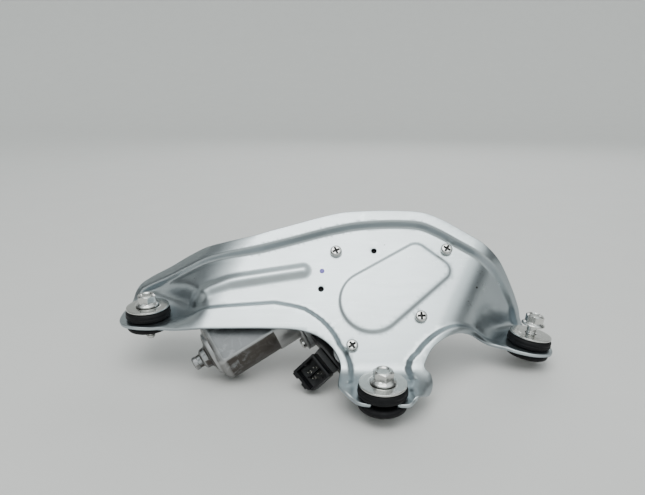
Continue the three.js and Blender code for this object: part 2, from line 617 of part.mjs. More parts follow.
function outputShaft() {
  return turned([
    [0, SPINDLE_TIP], [2.9, SPINDLE_TIP], [3.6, SPINDLE_TIP + 1], [3.6, -87], [2.7, -86.4], [2.7, -85.4],
    [3.1, -85.4], [SPINDLE_RADIUS, -79], [SPINDLE_RADIUS, -68.8], [3.5, -68.8], [3.5, -67.8],
    [SPINDLE_RADIUS, -67.8], [SPINDLE_RADIUS, -13.3], [3.0, -13.3], [3.0, -10.6], [0, -10.6],
  ], 20);
}

// ---- motor: everything here lies along the motor axis, x = 0 at the middle of the worm ------------
const canSection = (radius, flat) => {
  const half = Math.asin(flat / radius);
  const steps = 9;
  return [0, Math.PI].flatMap((middle) =>
    Array.from({ length: steps + 1 }, (_, i) => {
      const angle = middle + half * ((2 * i) / steps - 1);
      return [radius * Math.sin(angle), radius * Math.cos(angle)];
    }),
  );
};
// A bar of the can's two-flat section between two places on the axis.
const canBar = (radius, flat, x0, x1) => solid(alongX(prism(canSection(radius, flat), x0, x1)));

function motorCan() {
  const round = 4.5;
  const steps = 4;
  let outside = canBar(CAN_RADIUS, CAN_FLAT, CAN_BACK + round, CAN_STEP + 0.5);
  for (let i = 0; i < steps; i++) {
    const inset = round * (1 - Math.sqrt(1 - (1 - (i + 0.5) / steps) ** 2));
    const slice = canBar(CAN_RADIUS - inset, CAN_FLAT - inset, CAN_BACK + (round * i) / steps, CAN_STEP);
    outside = outside.add(slice);
  }
  const skirt = canBar(CAN_RADIUS + 0.7, CAN_FLAT + 0.3, CAN_STEP, CAN_MOUTH);
  const lip = solid(acrossAxis(motorFlangeOutline(20.5, 5), CAN_MOUTH - 1.5, CAN_MOUTH));
  const trim = solid(box(-60, -30, -40, 40, -17.5, CAN_FLAT + 0.3));
  const boss = solid(alongX(turned([
    [0, BOSS_END], [3.2, BOSS_END], [4, BOSS_END + 0.8], [4, -100], [5.8, -99.4], [6.2, -96], [13.5, -94.6],
    [14.5, CAN_BACK + 1], [0, CAN_BACK + 1],
  ])));
  const hollow = canBar(CAN_RADIUS - CAN_WALL, CAN_FLAT - CAN_WALL, CAN_BACK + 1.4, CAN_MOUTH + 5);
  const bossHollow = solid(alongX(turned(
    [[0, -103.9], [2.6, -103.9], [2.6, -101], [5, -98.6], [5, -88], [0, -88]])));
  const screwHoles = [-1, 1].map((side) =>
    solid(alongX(rod(2.3, -50, -40, 18)).translate(0, side * EAR_REACH, 0)));
  return cut(join(outside, skirt, lip.intersect(trim), boss), hollow, bossHollow, ...screwHoles);
}

// Ferrite segment against the can's round side; side is +1 or -1.
function magnet(side) {
  const [outer, inner, spread, steps] = [17.5, 13.8, 48 * DEG, 8];
  const arc = (radius, from, to) =>
    Array.from({ length: steps + 1 }, (_, i) => {
      const angle = from + ((to - from) * i) / steps;
      return [radius * Math.sin(angle), side * radius * Math.cos(angle)];
    });
  return alongX(prism([...arc(outer, -spread, spread), ...arc(inner, spread, -spread)], -87, -58));
}

const SLOTS = 8;
const CORE_RADIUS = 13;
const CORE_X = [-85, -60];
const SHAFT_RADIUS = 2.5;

// Section of the laminations: one T-shaped pole per slot, drawn round the axis.
function coreSection() {
  const pole = [[4.9, -0.5], [4.9, -0.13], [11.4, -0.06], [11.4, -0.4], [CORE_RADIUS, -0.43],
    [CORE_RADIUS, -0.2], [CORE_RADIUS, 0], [CORE_RADIUS, 0.2], [CORE_RADIUS, 0.43], [11.4, 0.4], [11.4, 0.06],
    [4.9, 0.13]];
  return Array.from({ length: SLOTS }, (_, i) =>
    pole.map(([radius, share]) => {
      const angle = ((i + share) / SLOTS) * 2 * Math.PI;
      return [radius * Math.cos(angle), radius * Math.sin(angle)];
    }),
  ).flat();
}

function armatureCore() {
  const bore = solid(alongX(rod(SHAFT_RADIUS + 0.1, -90, -50)));
  return cut(solid(alongX(prism(coreSection(), ...CORE_X))), bore);
}

// Copper: two end heads joined by a bar through each slot.
function armatureWinding() {
  const heads = [[-89.5, CORE_X[0] - 0.3], [CORE_X[1] + 0.3, -56]].map(([x0, x1]) =>
    solid(alongX(turned([[4, x0], [9.5, x0], [11.2, (x0 + x1) / 2], [11.2, x1], [4, x1]], 16))));
  const bars = Array.from({ length: SLOTS }, (_, i) =>
    solid(alongX(box(6.4, 10.9, -0.95, 0.95, -88, -57).rotateZ(((i + 0.5) / SLOTS) * 2 * Math.PI))));
  return join(...heads, ...bars);
}

// Shaft with the worm cut on it: the thread is a radius that follows the angle.
function armatureShaft() {
  const [around, perPitch, half] = [14, 5, 9];
  const rows = Math.round((2 * half * perPitch) / toothPitch);
  const thread = (x, angle) => {
    const phase = (((x / toothPitch - angle / (2 * Math.PI) + 0.5) % 1) + 1.5) % 1;
    const height = 1 - ease((Math.abs(phase - 0.5) - 0.1) / 0.2);
    const taper = ease((half - Math.abs(x)) / 2);
    return 4.0 + (0.15 + (WORM_PITCH_RADIUS - 4.0 + 0.65) * height) * taper;
  };
  const grid = [];
  for (let row = 0; row <= rows; row++) {
    for (let i = 0; i < around; i++) {
      const x = -half + (2 * half * row) / rows;
      const angle = (i / around) * 2 * Math.PI;
      const radius = thread(x, angle);
      grid.push([x, -radius * Math.cos(angle), -radius * Math.sin(angle)]);
    }
  }
  grid.push([-half, 0, 0], [half, 0, 0]);
  const index = [];
  for (let i = 0; i < around; i++) {
    const j = (i + 1) % around;
    for (let row = 0; row < rows; row++) {
      const [here, next] = [row * around, (row + 1) * around];
      const [a, b, c, d] = [here + i, here + j, next + j, next + i];
      index.push(a, b, c, a, c, d);
    }
    index.push(grid.length - 2, j, i, grid.length - 1, rows * around + i, rows * around + j);
  }
  const worm = new THREE.BufferGeometry();
  worm.setAttribute("position", new THREE.BufferAttribute(new Float32Array(grid.flat()), 3));
  worm.setIndex(index);
  const shaft = alongX(turned([
    [0, -100.4], [SHAFT_RADIUS - 0.4, -100.4], [SHAFT_RADIUS - 0.4, -94.8], [SHAFT_RADIUS, -93.8],
    [SHAFT_RADIUS, 15.4], [0, 15.4],
  ], 20));
  return join(solid(worm), solid(shaft));
}

function commutator() {
  const drum = solid(alongX(ring(5.6, SHAFT_RADIUS + 0.1, -55.4, -46, 32)));
  const slits = Array.from({ length: SLOTS }, (_, i) =>
    solid(alongX(box(4.9, 7, -0.25, 0.25, -56, -45).rotateZ((i / SLOTS) * 2 * Math.PI))));
  return cut(drum, ...slits);
}

function brushHolder() {
  const plate = canBar(CAN_RADIUS - CAN_WALL - GAP, CAN_FLAT - CAN_WALL - GAP, -45.4, -43.4);
  const guide = (side) => {
    const [y0, y1] = side > 0 ? [7, 16.5] : [-16.5, -7];
    return cut(solid(box(-54, -45.3, y0, y1, -3.8, 3.8)), solid(box(-52.4, -46.6, -20, 20, -2.4, 2.4)));
  };
  return cut(join(plate, guide(1), guide(-1)), solid(alongX(rod(6.2, -60, -40))));
}

const brush = (side) => box(-52.1, -46.9, side > 0 ? 5.9 : -11.4, side > 0 ? 11.4 : -5.9, -2.1, 2.1);
const brushSpring = (side) => {
  const coil = new THREE.CatmullRomCurve3(
    Array.from({ length: 25 }, (_, i) => {
      const angle = (i / 24) * 4 * 2 * Math.PI;
      const y = side * (12 + (i / 24) * 3.6);
      return new THREE.Vector3(-49.5 + 1.4 * Math.cos(angle), y, 1.4 * Math.sin(angle));
    }),
  );
  const wire = new THREE.Shape(beltOutline([[0, 0, 0.25]], 4).map((p) => new THREE.Vector2(...p)));
  return new THREE.ExtrudeGeometry(wire, { steps: 32, extrudePath: coil, bevelEnabled: false });
};

const chokeCoil = () => alongX(turned([[0.8, -55], [2.2, -55], [2.2, -46.2], [0.8, -46.2]], 16));
const suppressorCapacitor = () => box(-54, -46.2, -3, 3, -13.4, -9.6);

function sphericalBush(x) {
  const bore = SHAFT_RADIUS - 0.33;
  return alongX(turned([[bore, x - 2], [3.6, x - 2], [4.6, x], [3.6, x + 2], [bore, x + 2]], 24));
}

const motorScrew = () => {
  const body = turned([[0, -8], [1.5, -8], [1.5, 0], [3.1, 0], [3.1, 1.6], [2.4, 2.4], [0, 2.4]], 18);
  return cut(solid(body), solid(box(-1.9, 1.9, -0.4, 0.4, 1.3, 4)), solid(box(-0.4, 0.4, -1.9, 1.9, 1.3, 4)));
};

function motorGroup() {
  const group = motorFrame;
  group.add(piece("motor_can", motorCan(), "canSteel"));
  group.add(piece("magnet_upper", magnet(1), "ferrite"), piece("magnet_lower", magnet(-1), "ferrite"));
  group.add(piece("armature_shaft", armatureShaft(), "steel"));
  group.add(piece("armature_core", armatureCore(), "steel"));
  group.add(piece("armature_winding", armatureWinding(), "copper"));
  group.add(piece("commutator", commutator(), "copper"));
  group.add(piece("rear_bush", sphericalBush(-97.2), "bronze"));
  group.add(piece("front_bush", alongX(ring(6, SHAFT_RADIUS + 0.08, -30.6, -22)), "bronze"));
  group.add(piece("thrust_ball", new THREE.IcosahedronGeometry(1.5, 1).translate(-102.1, 0, 0), "bright"));
  group.add(piece("thrust_adjuster", alongX(rod(2.5, 15.8, 22.5, 20)), "brass"));
  group.add(piece("brush_holder", brushHolder(), "black"));
  group.add(piece("brush_upper", brush(1), "carbon"), piece("brush_lower", brush(-1), "carbon"));
  group.add(piece("brush_spring_upper", brushSpring(1), "bright"));
  group.add(piece("brush_spring_lower", brushSpring(-1), "bright"));
  group.add(piece("choke_upper", chokeCoil().translate(0, 8, 9.5), "copper"));
  group.add(piece("choke_lower", chokeCoil().translate(0, -8, 9.5), "copper"));
  group.add(piece("capacitor", suppressorCapacitor(), "paper"));
  for (const [name, side] of [["motor_screw_upper", 1], ["motor_screw_lower", -1]]) {
    const screw = piece(name, motorScrew(), "bright");
    screw.rotation.y = -Math.PI / 2;
    screw.position.set(CAN_MOUTH - 1.5 - GAP, side * EAR_REACH, 0);
    group.add(screw);
  }
  return group;
}

// ---- plug socket -----------------------------------------------------------------------------
const SOCKET_AT = new THREE.Vector3(-6.4, 1.2, -4.6); // middle of its mouth
const SOCKET_TURN = -51.3 * DEG; // direction of its lower edge along the bracket's edge
const SOCKET_TILT = 22 * DEG; // how far the mouth leans out from the main face
const SOCKET = { wide: 15.4, tall: 15, deep: 9.5, wall: 1.4, floor: 1.6 };

const socketFrame = new THREE.Group();
socketFrame.position.copy(SOCKET_AT);
socketFrame.rotation.set(0, 0, SOCKET_TURN);
socketFrame.rotateX(SOCKET_TILT);
socketFrame.updateMatrix();
const inSocket = (geometry) => solid(geometry.applyMatrix4(socketFrame.matrix));

function connectorHousing() {
  const { wide, tall, deep, wall, floor } = SOCKET;
  const [x, y, chamfer] = [wide / 2, tall / 2, 2.2];
  const corners = [[-x, -y], [x - chamfer, -y], [x, chamfer - y], [x, y - 0.8], [x - 0.8, y], [-x, y]];
  const shell = inSocket(prism(corners, -deep, 0));
  const hollow = inSocket(box(wall - x, x - wall, wall - y, y - wall, floor - deep, 1));
  const latches = [-5.2, 2.4].map((mid) => inSocket(box(mid - 1.9, mid + 1.9, -y - 1.3, -y + 0.5, -6.5, -1)));
  const block = solid(prism([[-6.5, 23.4], [10.2, 2.8], [17, 10], [12, 27], [0, 29]], -16, -4.6));
  const web = solid(prism([[-7, 11], [1.5, 0.5], [9, 4.5], [-1.5, 17.5]], -15.5, -11.5));
  const keepOff = [
    solid(at(rod(5, -40, 5), ...SCREWS[3])),
    inMotor(alongX(rod(3.7, -50, -40)).translate(0, -EAR_REACH, 0)),
    solid(prism(cavityOutline(3.4), -40, 5)),
    solid(prism(beltOutline([[14.2, 13.4, 8.4], [24, 24, 8.4]]), -15.4, 5)),
    inMotor(acrossAxis(motorFlangeOutline(20.6, 5.5), -60, -36.5)),
    inMotor(alongX(turned([[0, -38], [17.4, -38], [12.4, -26], [10.8, -20], [0, -20]]))),
  ];
  const pins = terminalPlaces().map(([a, b]) => inSocket(box(a - 0.8, a + 0.8, b - 0.6, b + 0.6, -16, -5)));
  return cut(join(shell, block, web, ...latches), hollow, ...keepOff, ...pins);
}

const terminalPlaces = () => [[-2.1, 2.1], [-2.1, -2.1], [2.1, 2.1], [2.1, -2.1]];

function socketGroup() {
  socketFrame.add(
    ...terminalPlaces().map(([x, y], i) =>
      piece(`terminal_${i + 1}`, box(x - 0.5, x + 0.5, y - 0.3, y + 0.3, -9.2, -3.4), "brass")),
  );
  return socketFrame;
}

// ---- assembly --------------------------------------------------------------------------------
function wiperMotor() {
  const plate = new THREE.Group();
  plate.rotation.x = LEAN * DEG;
  plate.position.set(-CENTRE_X, -CENTRE_Y, ORIGIN_HEIGHT);
  plate.add(piece("bracket_plate", bracketPlate(), "zinc"));
  plate.add(piece("gear_housing", gearHousing(), "cast"), piece("housing_gasket", housingGasket(), "rubber"));
  plate.add(piece("connector_housing", connectorHousing(), "black"));
  SCREWS.forEach(([u, s], i) => {
    const screw = piece(`cover_screw_${i + 1}`, panScrew(), "bright");
    screw.position.set(u, s, GAP);
    screw.rotation.z = 0.6 * i;
    plate.add(screw);
  });

  const wheel = frame(WHEEL_AT.x, WHEEL_AT.y, 0);
  wheel.add(piece("worm_wheel", wormWheel(), "acetal"));
  wheel.add(piece("wheel_axle", rod(2.5, -28.9, -14.2, 24), "steel"));
  const crankPin = pinAt();
  crankPin.add(piece("crank_pin", turned([[0, -22.6], [2.5, -22.6], [2.5, -7.4], [1.9, -7.4], [1.9, -6.8],
    [2.5, -6.8], [2.5, -6.2], [0, -6.2]], 24), "steel"));
  crankPin.add(piece("connecting_link", connectingLink(), "steel"));
  wheel.add(crankPin);

  const output = frame(spindleAt.x, spindleAt.y, 0);
  const leverPin = pinAt();
  leverPin.add(piece("lever_pin", turned([[0, -12.8], [1.9, -12.8], [1.9, -10.3], [2.5, -10.3], [2.5, -7.4],
    [1.9, -7.4], [1.9, -6.8], [2.5, -6.8], [2.5, -6.2], [0, -6.2]], 24), "steel"));
  output.add(piece("output_lever", outputLever(), "steel"), piece("output_shaft", outputShaft(), "steel"));
  output.add(leverPin);
  output.add(piece("upper_bush", ring(6.3, SPINDLE_RADIUS + 0.08, -36.6, -26.4), "bronze"));
  output.add(piece("lower_bush", ring(6.3, SPINDLE_RADIUS + 0.08, -62.6, -54.4), "bronze"));
  output.add(piece("shaft_seal", ring(6.7, SPINDLE_RADIUS + 0.1, -66, -63.2), "rubber"));
  output.add(piece("shaft_washer", ring(7.4, SPINDLE_RADIUS + 0.3, -67.5, -66.4), "bright"));
  output.add(piece("shaft_clip", ring(6, 3.75, -68.6, -68), "bright"));

  plate.add(wheel, output, motorGroup(), socketGroup());
  plate.add(...Object.keys(PADS).map(earHardware));
  const root = new THREE.Group();
  root.add(plate);
  return root;
}

export default wiperMotor();
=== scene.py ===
"""Looks of a rear wiper motor lying on a pale floor: a pressed steel bracket with three rubber-mounted
ears, a die-cast gear housing, a drawn motor can and a plug socket. Local sizes are in millimetres."""
import json
import math

import bmesh
import bpy
import numpy as np
from mathutils import Matrix, Vector, geometry


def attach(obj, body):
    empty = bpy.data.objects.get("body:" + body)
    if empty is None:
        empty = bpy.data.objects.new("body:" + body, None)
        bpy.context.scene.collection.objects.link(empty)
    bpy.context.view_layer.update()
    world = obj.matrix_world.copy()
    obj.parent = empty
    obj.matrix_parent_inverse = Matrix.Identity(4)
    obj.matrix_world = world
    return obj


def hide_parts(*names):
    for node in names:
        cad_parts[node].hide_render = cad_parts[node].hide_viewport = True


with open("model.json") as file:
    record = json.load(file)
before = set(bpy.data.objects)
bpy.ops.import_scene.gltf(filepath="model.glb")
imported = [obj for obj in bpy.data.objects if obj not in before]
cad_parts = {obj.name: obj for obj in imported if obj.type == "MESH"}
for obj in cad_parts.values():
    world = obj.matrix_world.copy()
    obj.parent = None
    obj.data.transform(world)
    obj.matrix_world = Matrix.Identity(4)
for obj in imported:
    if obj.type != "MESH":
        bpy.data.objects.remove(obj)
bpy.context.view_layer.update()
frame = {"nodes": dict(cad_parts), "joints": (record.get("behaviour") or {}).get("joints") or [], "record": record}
nodes = frame["nodes"]
joints = {joint["name"]: joint for joint in frame["joints"]}
slot_of = {part["node"]: part["material_slot"] for part in frame["record"]["subparts"]}
MM = 0.001
TURN = 2 * math.pi


# ---- places -----------------------------------------------------------------------------------
def joint_place(name):
    return Vector(joints[name]["pos_m"]) / MM


def joint_axis(name):
    return Vector(joints[name]["axis"]).normalized()


def placed(origin, x_axis, y_axis, z_axis):
    turn = Matrix((x_axis, y_axis, z_axis)).transposed()
    return Matrix.Translation(origin) @ turn.to_4x4()


WHEEL_AT = (28.5, 42.0)  # worm wheel axis on the main face
FOLD = math.tan(math.radians(50))  # slope of the front ear and the outer ears
NORMAL = joint_axis("wheel_spin")
ACROSS = Vector((1, 0, 0))
SLOPE = NORMAL.cross(ACROSS)
FOOT = joint_place("wheel_spin") - WHEEL_AT[0] * ACROSS - WHEEL_AT[1] * SLOPE
PLATE = placed(FOOT, ACROSS, SLOPE, NORMAL)  # main face: u across, s up its slope, w out of it
SHAFT = joint_axis("armature_spin")
MOTOR = placed(joint_place("armature_spin"), SHAFT, NORMAL.cross(SHAFT), NORMAL)
SPINDLE = placed(joint_place("wiper_sweep"), ACROSS, SLOPE, NORMAL)

PADS = {
    "left": {"u": -105, "s": 37.4, "w": -16.7, "slope": (0.03, -FOLD)},
    "centre": {"u": 31, "s": -13.4, "w": 15.97, "slope": (0, -FOLD)},
    "right": {"u": 127.8, "s": 24.4, "w": -32.9, "slope": (-0.27, -1.35)},
}
BOLT_RAISED = {"left": 0.3, "centre": 0.3, "right": 5.5}
BOLT_TURN = {"left": 0.35, "centre": 0.12, "right": 0.8}


def ear_place(pad):
    normal = Vector((-pad["slope"][0], -pad["slope"][1], 1)).normalized()
    turn = Vector((0, 0, 1)).rotation_difference(normal).to_matrix().to_4x4()
    return PLATE @ Matrix.Translation((pad["u"], pad["s"], pad["w"])) @ turn


# ---- materials --------------------------------------------------------------------------------
class Look:
    """A node material on the Principled shader, its patterns laid out in the part's own space."""

    def __init__(self, name, colour, metallic, roughness, **sockets):
        self.material = bpy.data.materials.new(name)
        self.material.use_nodes = True
        self.tree = self.material.node_tree
        self.shader = self.tree.nodes["Principled BSDF"]
        self.shader.inputs["Base Color"].default_value = (*colour, 1)
        self.shader.inputs["Metallic"].default_value = metallic
        self.shader.inputs["Roughness"].default_value = roughness
        for socket, value in sockets.items():
            self.shader.inputs[socket.replace("_", " ")].default_value = value
        self.space = self.node("ShaderNodeTexCoord").outputs["Object"]

    def node(self, kind, values=(), **settings):
        made = self.tree.nodes.new(kind)
        for key, value in settings.items():
            setattr(made, key, value)
        for key, value in dict(values).items():
            if isinstance(value, bpy.types.NodeSocket):
                self.tree.links.new(value, made.inputs[key])
            else:
                made.inputs[key].default_value = value
        return made

    def stretched(self, direction, scale):
        """Space drawn out along a direction, for grain and scratches."""
        along = Vector(direction).normalized()
        turn = along.rotation_difference(Vector((1, 0, 0))).to_euler()
        return self.node("ShaderNodeMapping", {"Vector": self.space, "Rotation": turn, "Scale": scale}).outputs[0]

    def noise(self, size, detail=3.0, roughness=0.55, space=None, distortion=0.0):
        """Noise whose features are about size millimetres across."""
        return self.node("ShaderNodeTexNoise", {
            "Vector": space or self.space, "Scale": 1 / (size * MM), "Detail": detail,
            "Roughness": roughness, "Distortion": distortion,
        }).outputs["Fac"]

    def spread(self, value, low, high, out_low=0.0, out_high=1.0):
        return self.node("ShaderNodeMapRange", {
            "Value": value, "From Min": low, "From Max": high, "To Min": out_low, "To Max": out_high,
        }, interpolation_type="SMOOTHSTEP").outputs["Result"]

    def sum(self, operation, first, second):
        return self.node("ShaderNodeMath", {0: first, 1: second}, operation=operation).outputs[0]

    def mixed(self, share, first, second):
        made = self.node("ShaderNodeMix", {"Factor": share}, data_type="RGBA")
        for key, value in (("A_Color", first), ("B_Color", second)):
            socket = next(s for s in made.inputs if s.identifier == key)
            if isinstance(value, bpy.types.NodeSocket):
                self.tree.links.new(value, socket)
            else:
                socket.default_value = (*value, 1)
        return next(s for s in made.outputs if s.identifier == "Result_Color")

    def along(self, axis, origin):
        """Distance along an axis, in millimetres."""
        moved = self.node("ShaderNodeVectorMath", {0: self.space, 1: Vector(origin) * MM}, operation="SUBTRACT")
        dot = self.node("ShaderNodeVectorMath", {0: moved.outputs[0], 1: axis}, operation="DOT_PRODUCT")
        return self.sum("DIVIDE", dot.outputs["Value"], MM)

    def facing(self, axis):
        """1 where the surface faces along an axis either way, 0 where it stands square to it."""
        normal = self.node("ShaderNodeNewGeometry").outputs["Normal"]
        dot = self.node("ShaderNodeVectorMath", {0: normal, 1: axis}, operation="DOT_PRODUCT")
        return self.sum("ABSOLUTE", dot.outputs["Value"], 0.0)

    def distance(self, point):
        made = self.node("ShaderNodeVectorMath", {0: self.space, 1: Vector(point) * MM}, operation="DISTANCE")
        return self.sum("DIVIDE", made.outputs["Value"], MM)

    def rubbed_and_highlit_edges(self, low=0.52, high=0.62):
        """1 on outward edges, painted bright: partly plating rubbed bright, partly painted highlight."""
        return self.spread(self.node("ShaderNodeNewGeometry").outputs["Pointiness"], low, high)

    def set(self, socket, value):
        self.tree.links.new(value, self.shader.inputs[socket])
        return self

    def bump(self, *layers):
        """Layers of (height, depth in millimetres)."""
        normal = None
        for height, depth in layers:
            made = self.node("ShaderNodeBump", {"Height": height, "Distance": depth * MM, "Strength": 1.0})
            if normal:
                self.tree.links.new(normal, made.inputs["Normal"])
            normal = made.outputs[0]
        return self.set("Normal", normal)


def zinc_sheet():
    look = Look("zinc_sheet", (0.70, 0.74, 0.76), 1.0, 0.28)
    cloud = look.noise(38, 3)
    fine = look.noise(0.9, 3)
    grain = look.noise(2.2, 4, space=look.stretched(SLOPE * 0.4 + ACROSS, (0.12, 1, 1)))
    scratches = look.spread(look.noise(0.55, 2, space=look.stretched(ACROSS + SLOPE, (0.018, 1, 1))), 0.69, 0.74)
    rubbed = look.spread(look.noise(9, 4), 0.62, 0.75)
    colour = look.mixed(cloud, (0.56, 0.62, 0.64), (0.71, 0.76, 0.77))
    colour = look.mixed(look.sum("MULTIPLY", look.spread(fine, 0.45, 0.75), 0.16), colour, (0.50, 0.54, 0.57))
    nick_at = PLATE @ Vector((91.75, 51.75, -4.2))
    nick = look.spread(look.distance(nick_at), 0.4, 0.9, 1.0, 0.0)
    speck_at = PLATE @ Vector((37.5, 77.5, 0.0))
    speck = look.spread(look.distance(speck_at), 0.25, 0.5, 0.7, 0.0)
    marks = look.sum("MAXIMUM", nick, speck)
    colour = look.mixed(look.sum("MULTIPLY", scratches, 0.35), colour, (0.86, 0.88, 0.88))
    # painted shade: rim walls, bends and ears that turn away from the main face are darkened towards dark grey
    colour = look.mixed(look.spread(look.facing(NORMAL), 0.55, 0.97, 0.75, 0.0), colour, (0.26, 0.30, 0.33))
    look.set("Base Color", look.mixed(marks, colour, (0.07, 0.06, 0.06)))
    rough = look.sum("ADD", look.spread(cloud, 0.3, 0.7, 0.28, 0.35), look.spread(grain, 0.3, 0.7, 0.0, 0.03))
    rough = look.sum("SUBTRACT", rough, look.sum("MULTIPLY", look.sum("MAXIMUM", scratches, rubbed), 0.06))
    look.set("Roughness", rough)
    return look.bump((grain, 0.004), (fine, 0.003), (look.noise(55, 1), 0.12), (scratches, -0.003))


def bright_zinc():
    look = Look("bright_zinc", (0.70, 0.70, 0.68), 1.0, 0.17)
    patch = look.noise(2.6, 4)
    fine = look.noise(0.35, 3)
    tint = look.mixed(patch, (0.54, 0.54, 0.52), (0.74, 0.74, 0.72))
    look.set("Base Color", look.mixed(look.spread(fine, 0.62, 0.8), tint, (0.36, 0.35, 0.32)))
    look.set("Roughness", look.spread(patch, 0.3, 0.75, 0.12, 0.27))
    return look.bump((fine, 0.007), (look.noise(4, 2), 0.03))


def can_steel():
    look = Look("can_steel", (0.30, 0.30, 0.30), 0.9, 0.4)
    from_rear = look.along(SHAFT, MOTOR.translation - 92.5 * SHAFT)
    cloud = look.noise(11, 4)
    worn = look.spread(look.noise(5.5, 6, 0.72, distortion=0.8), 0.47, 0.66)
    near_rear = look.spread(from_rear, 4, 24, 1.0, 0.15)
    worn = look.sum("MULTIPLY", worn, near_rear)
    drawn = look.noise(0.9, 3, space=look.stretched(SHAFT, (0.03, 1, 1)))
    flat = look.facing(NORMAL)
    # painted shade and light: the round sides take a dark brown copy of the finish, the flats a lighter grey one,
    # blended by how squarely the surface faces the flats
    side = look.mixed(cloud, (0.045, 0.038, 0.034), (0.10, 0.09, 0.082))
    top = look.mixed(cloud, (0.10, 0.106, 0.11), (0.19, 0.195, 0.20))
    colour = look.mixed(look.spread(flat, 0.8, 0.98), side, top)
    colour = look.mixed(worn, colour, (0.27, 0.28, 0.285))
    # painted highlight: a bright line along the corners where the flats turn into the round sides
    edge = look.sum("MINIMUM", look.spread(flat, 0.80, 0.86), look.spread(flat, 0.965, 0.99, 1.0, 0.0))
    colour = look.mixed(look.sum("MULTIPLY", edge, 0.8), colour, (0.50, 0.51, 0.51))
    # outward edges painted bright: partly rubbed plating, partly painted highlight
    look.set("Base Color", look.mixed(look.rubbed_and_highlit_edges(0.505, 0.53), colour, (0.42, 0.42, 0.42)))
    rough = look.sum("ADD", look.spread(cloud, 0.3, 0.7, 0.33, 0.46), look.sum("MULTIPLY", worn, 0.12))
    look.set("Roughness", rough)
    return look.bump((worn, 0.05), (drawn, 0.012), (look.noise(1.1, 3), 0.012))


def cast_alloy():
    look = Look("cast_alloy", (0.55, 0.56, 0.57), 0.88, 0.5)
    cloud = look.noise(9, 4)
    grain = look.noise(0.5, 4)
    flow = look.noise(5, 5, 0.6, distortion=1.4)
    colour = look.mixed(cloud, (0.22, 0.225, 0.23), (0.33, 0.335, 0.34))
    colour = look.mixed(look.spread(flow, 0.58, 0.7, 0.0, 0.5), colour, (0.14, 0.145, 0.15))
    # outward edges painted bright: partly rubbed wear, partly painted highlight
    look.set("Base Color", look.mixed(look.rubbed_and_highlit_edges(), colour, (0.50, 0.51, 0.51)))
    look.set("Roughness", look.spread(grain, 0.3, 0.7, 0.42, 0.62))
    return look.bump((grain, 0.03), (flow, 0.05))


def plain_steel():
    look = Look("plain_steel", (0.5, 0.5, 0.5), 1.0, 0.34)
    cloud = look.noise(4, 4)
    turned_lines = look.noise(0.25, 2, space=look.stretched(NORMAL, (1, 0.05, 0.05)))
    look.set("Base Color", look.mixed(cloud, (0.42, 0.42, 0.43), (0.60, 0.60, 0.60)))
    look.set("Roughness", look.spread(turned_lines, 0.3, 0.7, 0.24, 0.44))
    return look.bump((turned_lines, 0.006))


def laminated_steel():
    look = Look("laminated_steel", (0.35, 0.34, 0.33), 0.9, 0.45)
    along = look.along(SHAFT, MOTOR.translation)
    sheet = look.node("ShaderNodeMath", {0: look.sum("MULTIPLY", along, TURN / 0.6)}, operation="SINE").outputs[0]
    line = look.spread(sheet, -1.0, -0.3, 1.0, 0.0)
    look.set("Base Color", look.mixed(line, (0.38, 0.37, 0.36), (0.10, 0.09, 0.08)))
    look.set("Roughness", look.spread(look.noise(3, 3), 0.3, 0.7, 0.36, 0.55))
    return look.bump((sheet, 0.03))


def copper_wire():
    look = Look("copper_wire", (0.55, 0.24, 0.11), 0.95, 0.3)
    wire = look.noise(0.7, 2, space=look.stretched(SHAFT, (0.08, 1, 1)))
    look.set("Base Color", look.mixed(look.spread(wire, 0.35, 0.6), (0.30, 0.11, 0.05), (0.66, 0.30, 0.15)))
    look.set("Roughness", look.spread(look.noise(2, 3), 0.3, 0.7, 0.22, 0.38))
    return look.bump((wire, 0.15))


def sintered_bronze():
    look = Look("sintered_bronze", (0.45, 0.30, 0.16), 0.9, 0.5)
    pores = look.noise(0.3, 3)
    look.set("Base Color", look.mixed(look.spread(pores, 0.35, 0.55), (0.20, 0.12, 0.06), (0.52, 0.36, 0.20)))
    look.set("Roughness", look.spread(pores, 0.3, 0.7, 0.4, 0.6))
    return look.bump((pores, 0.03))


def terminal_tin():
    look = Look("terminal_tin", (0.80, 0.77, 0.68), 1.0, 0.22)
    cloud = look.noise(0.8, 3)
    look.set("Base Color", look.mixed(cloud, (0.70, 0.66, 0.55), (0.88, 0.86, 0.80)))
    look.set("Roughness", look.spread(cloud, 0.3, 0.7, 0.16, 0.3))
    return look.bump((look.noise(0.3, 2), 0.004))


def ferrite():
    look = Look("ferrite", (0.05, 0.05, 0.055), 0.25, 0.55)
    grain = look.noise(0.4, 4)
    look.set("Base Color", look.mixed(look.noise(6, 3), (0.035, 0.035, 0.04), (0.075, 0.075, 0.08)))
    look.set("Roughness", look.spread(grain, 0.3, 0.7, 0.45, 0.65))
    return look.bump((grain, 0.02))


def carbon():
    look = Look("carbon", (0.03, 0.03, 0.03), 0.3, 0.45)
    grain = look.noise(0.25, 4)
    look.set("Base Color", look.mixed(look.spread(grain, 0.5, 0.7), (0.02, 0.02, 0.02), (0.12, 0.08, 0.06)))
    look.set("Roughness", look.spread(grain, 0.3, 0.7, 0.35, 0.55))
    return look.bump((grain, 0.01))


def black_rubber():
    look = Look("black_rubber", (0.012, 0.012, 0.013), 0.0, 0.6, Specular_IOR_Level=0.2)
    cloud = look.noise(5, 4)
    grain = look.noise(0.35, 3)
    dust = look.spread(look.noise(1.8, 6, 0.7), 0.56, 0.78, 0.0, 0.35)
    look.set("Base Color", look.mixed(dust, (0.006, 0.006, 0.007), (0.03, 0.029, 0.027)))
    look.set("Roughness", look.spread(cloud, 0.3, 0.7, 0.5, 0.68))
    return look.bump((grain, 0.014), (cloud, 0.05))


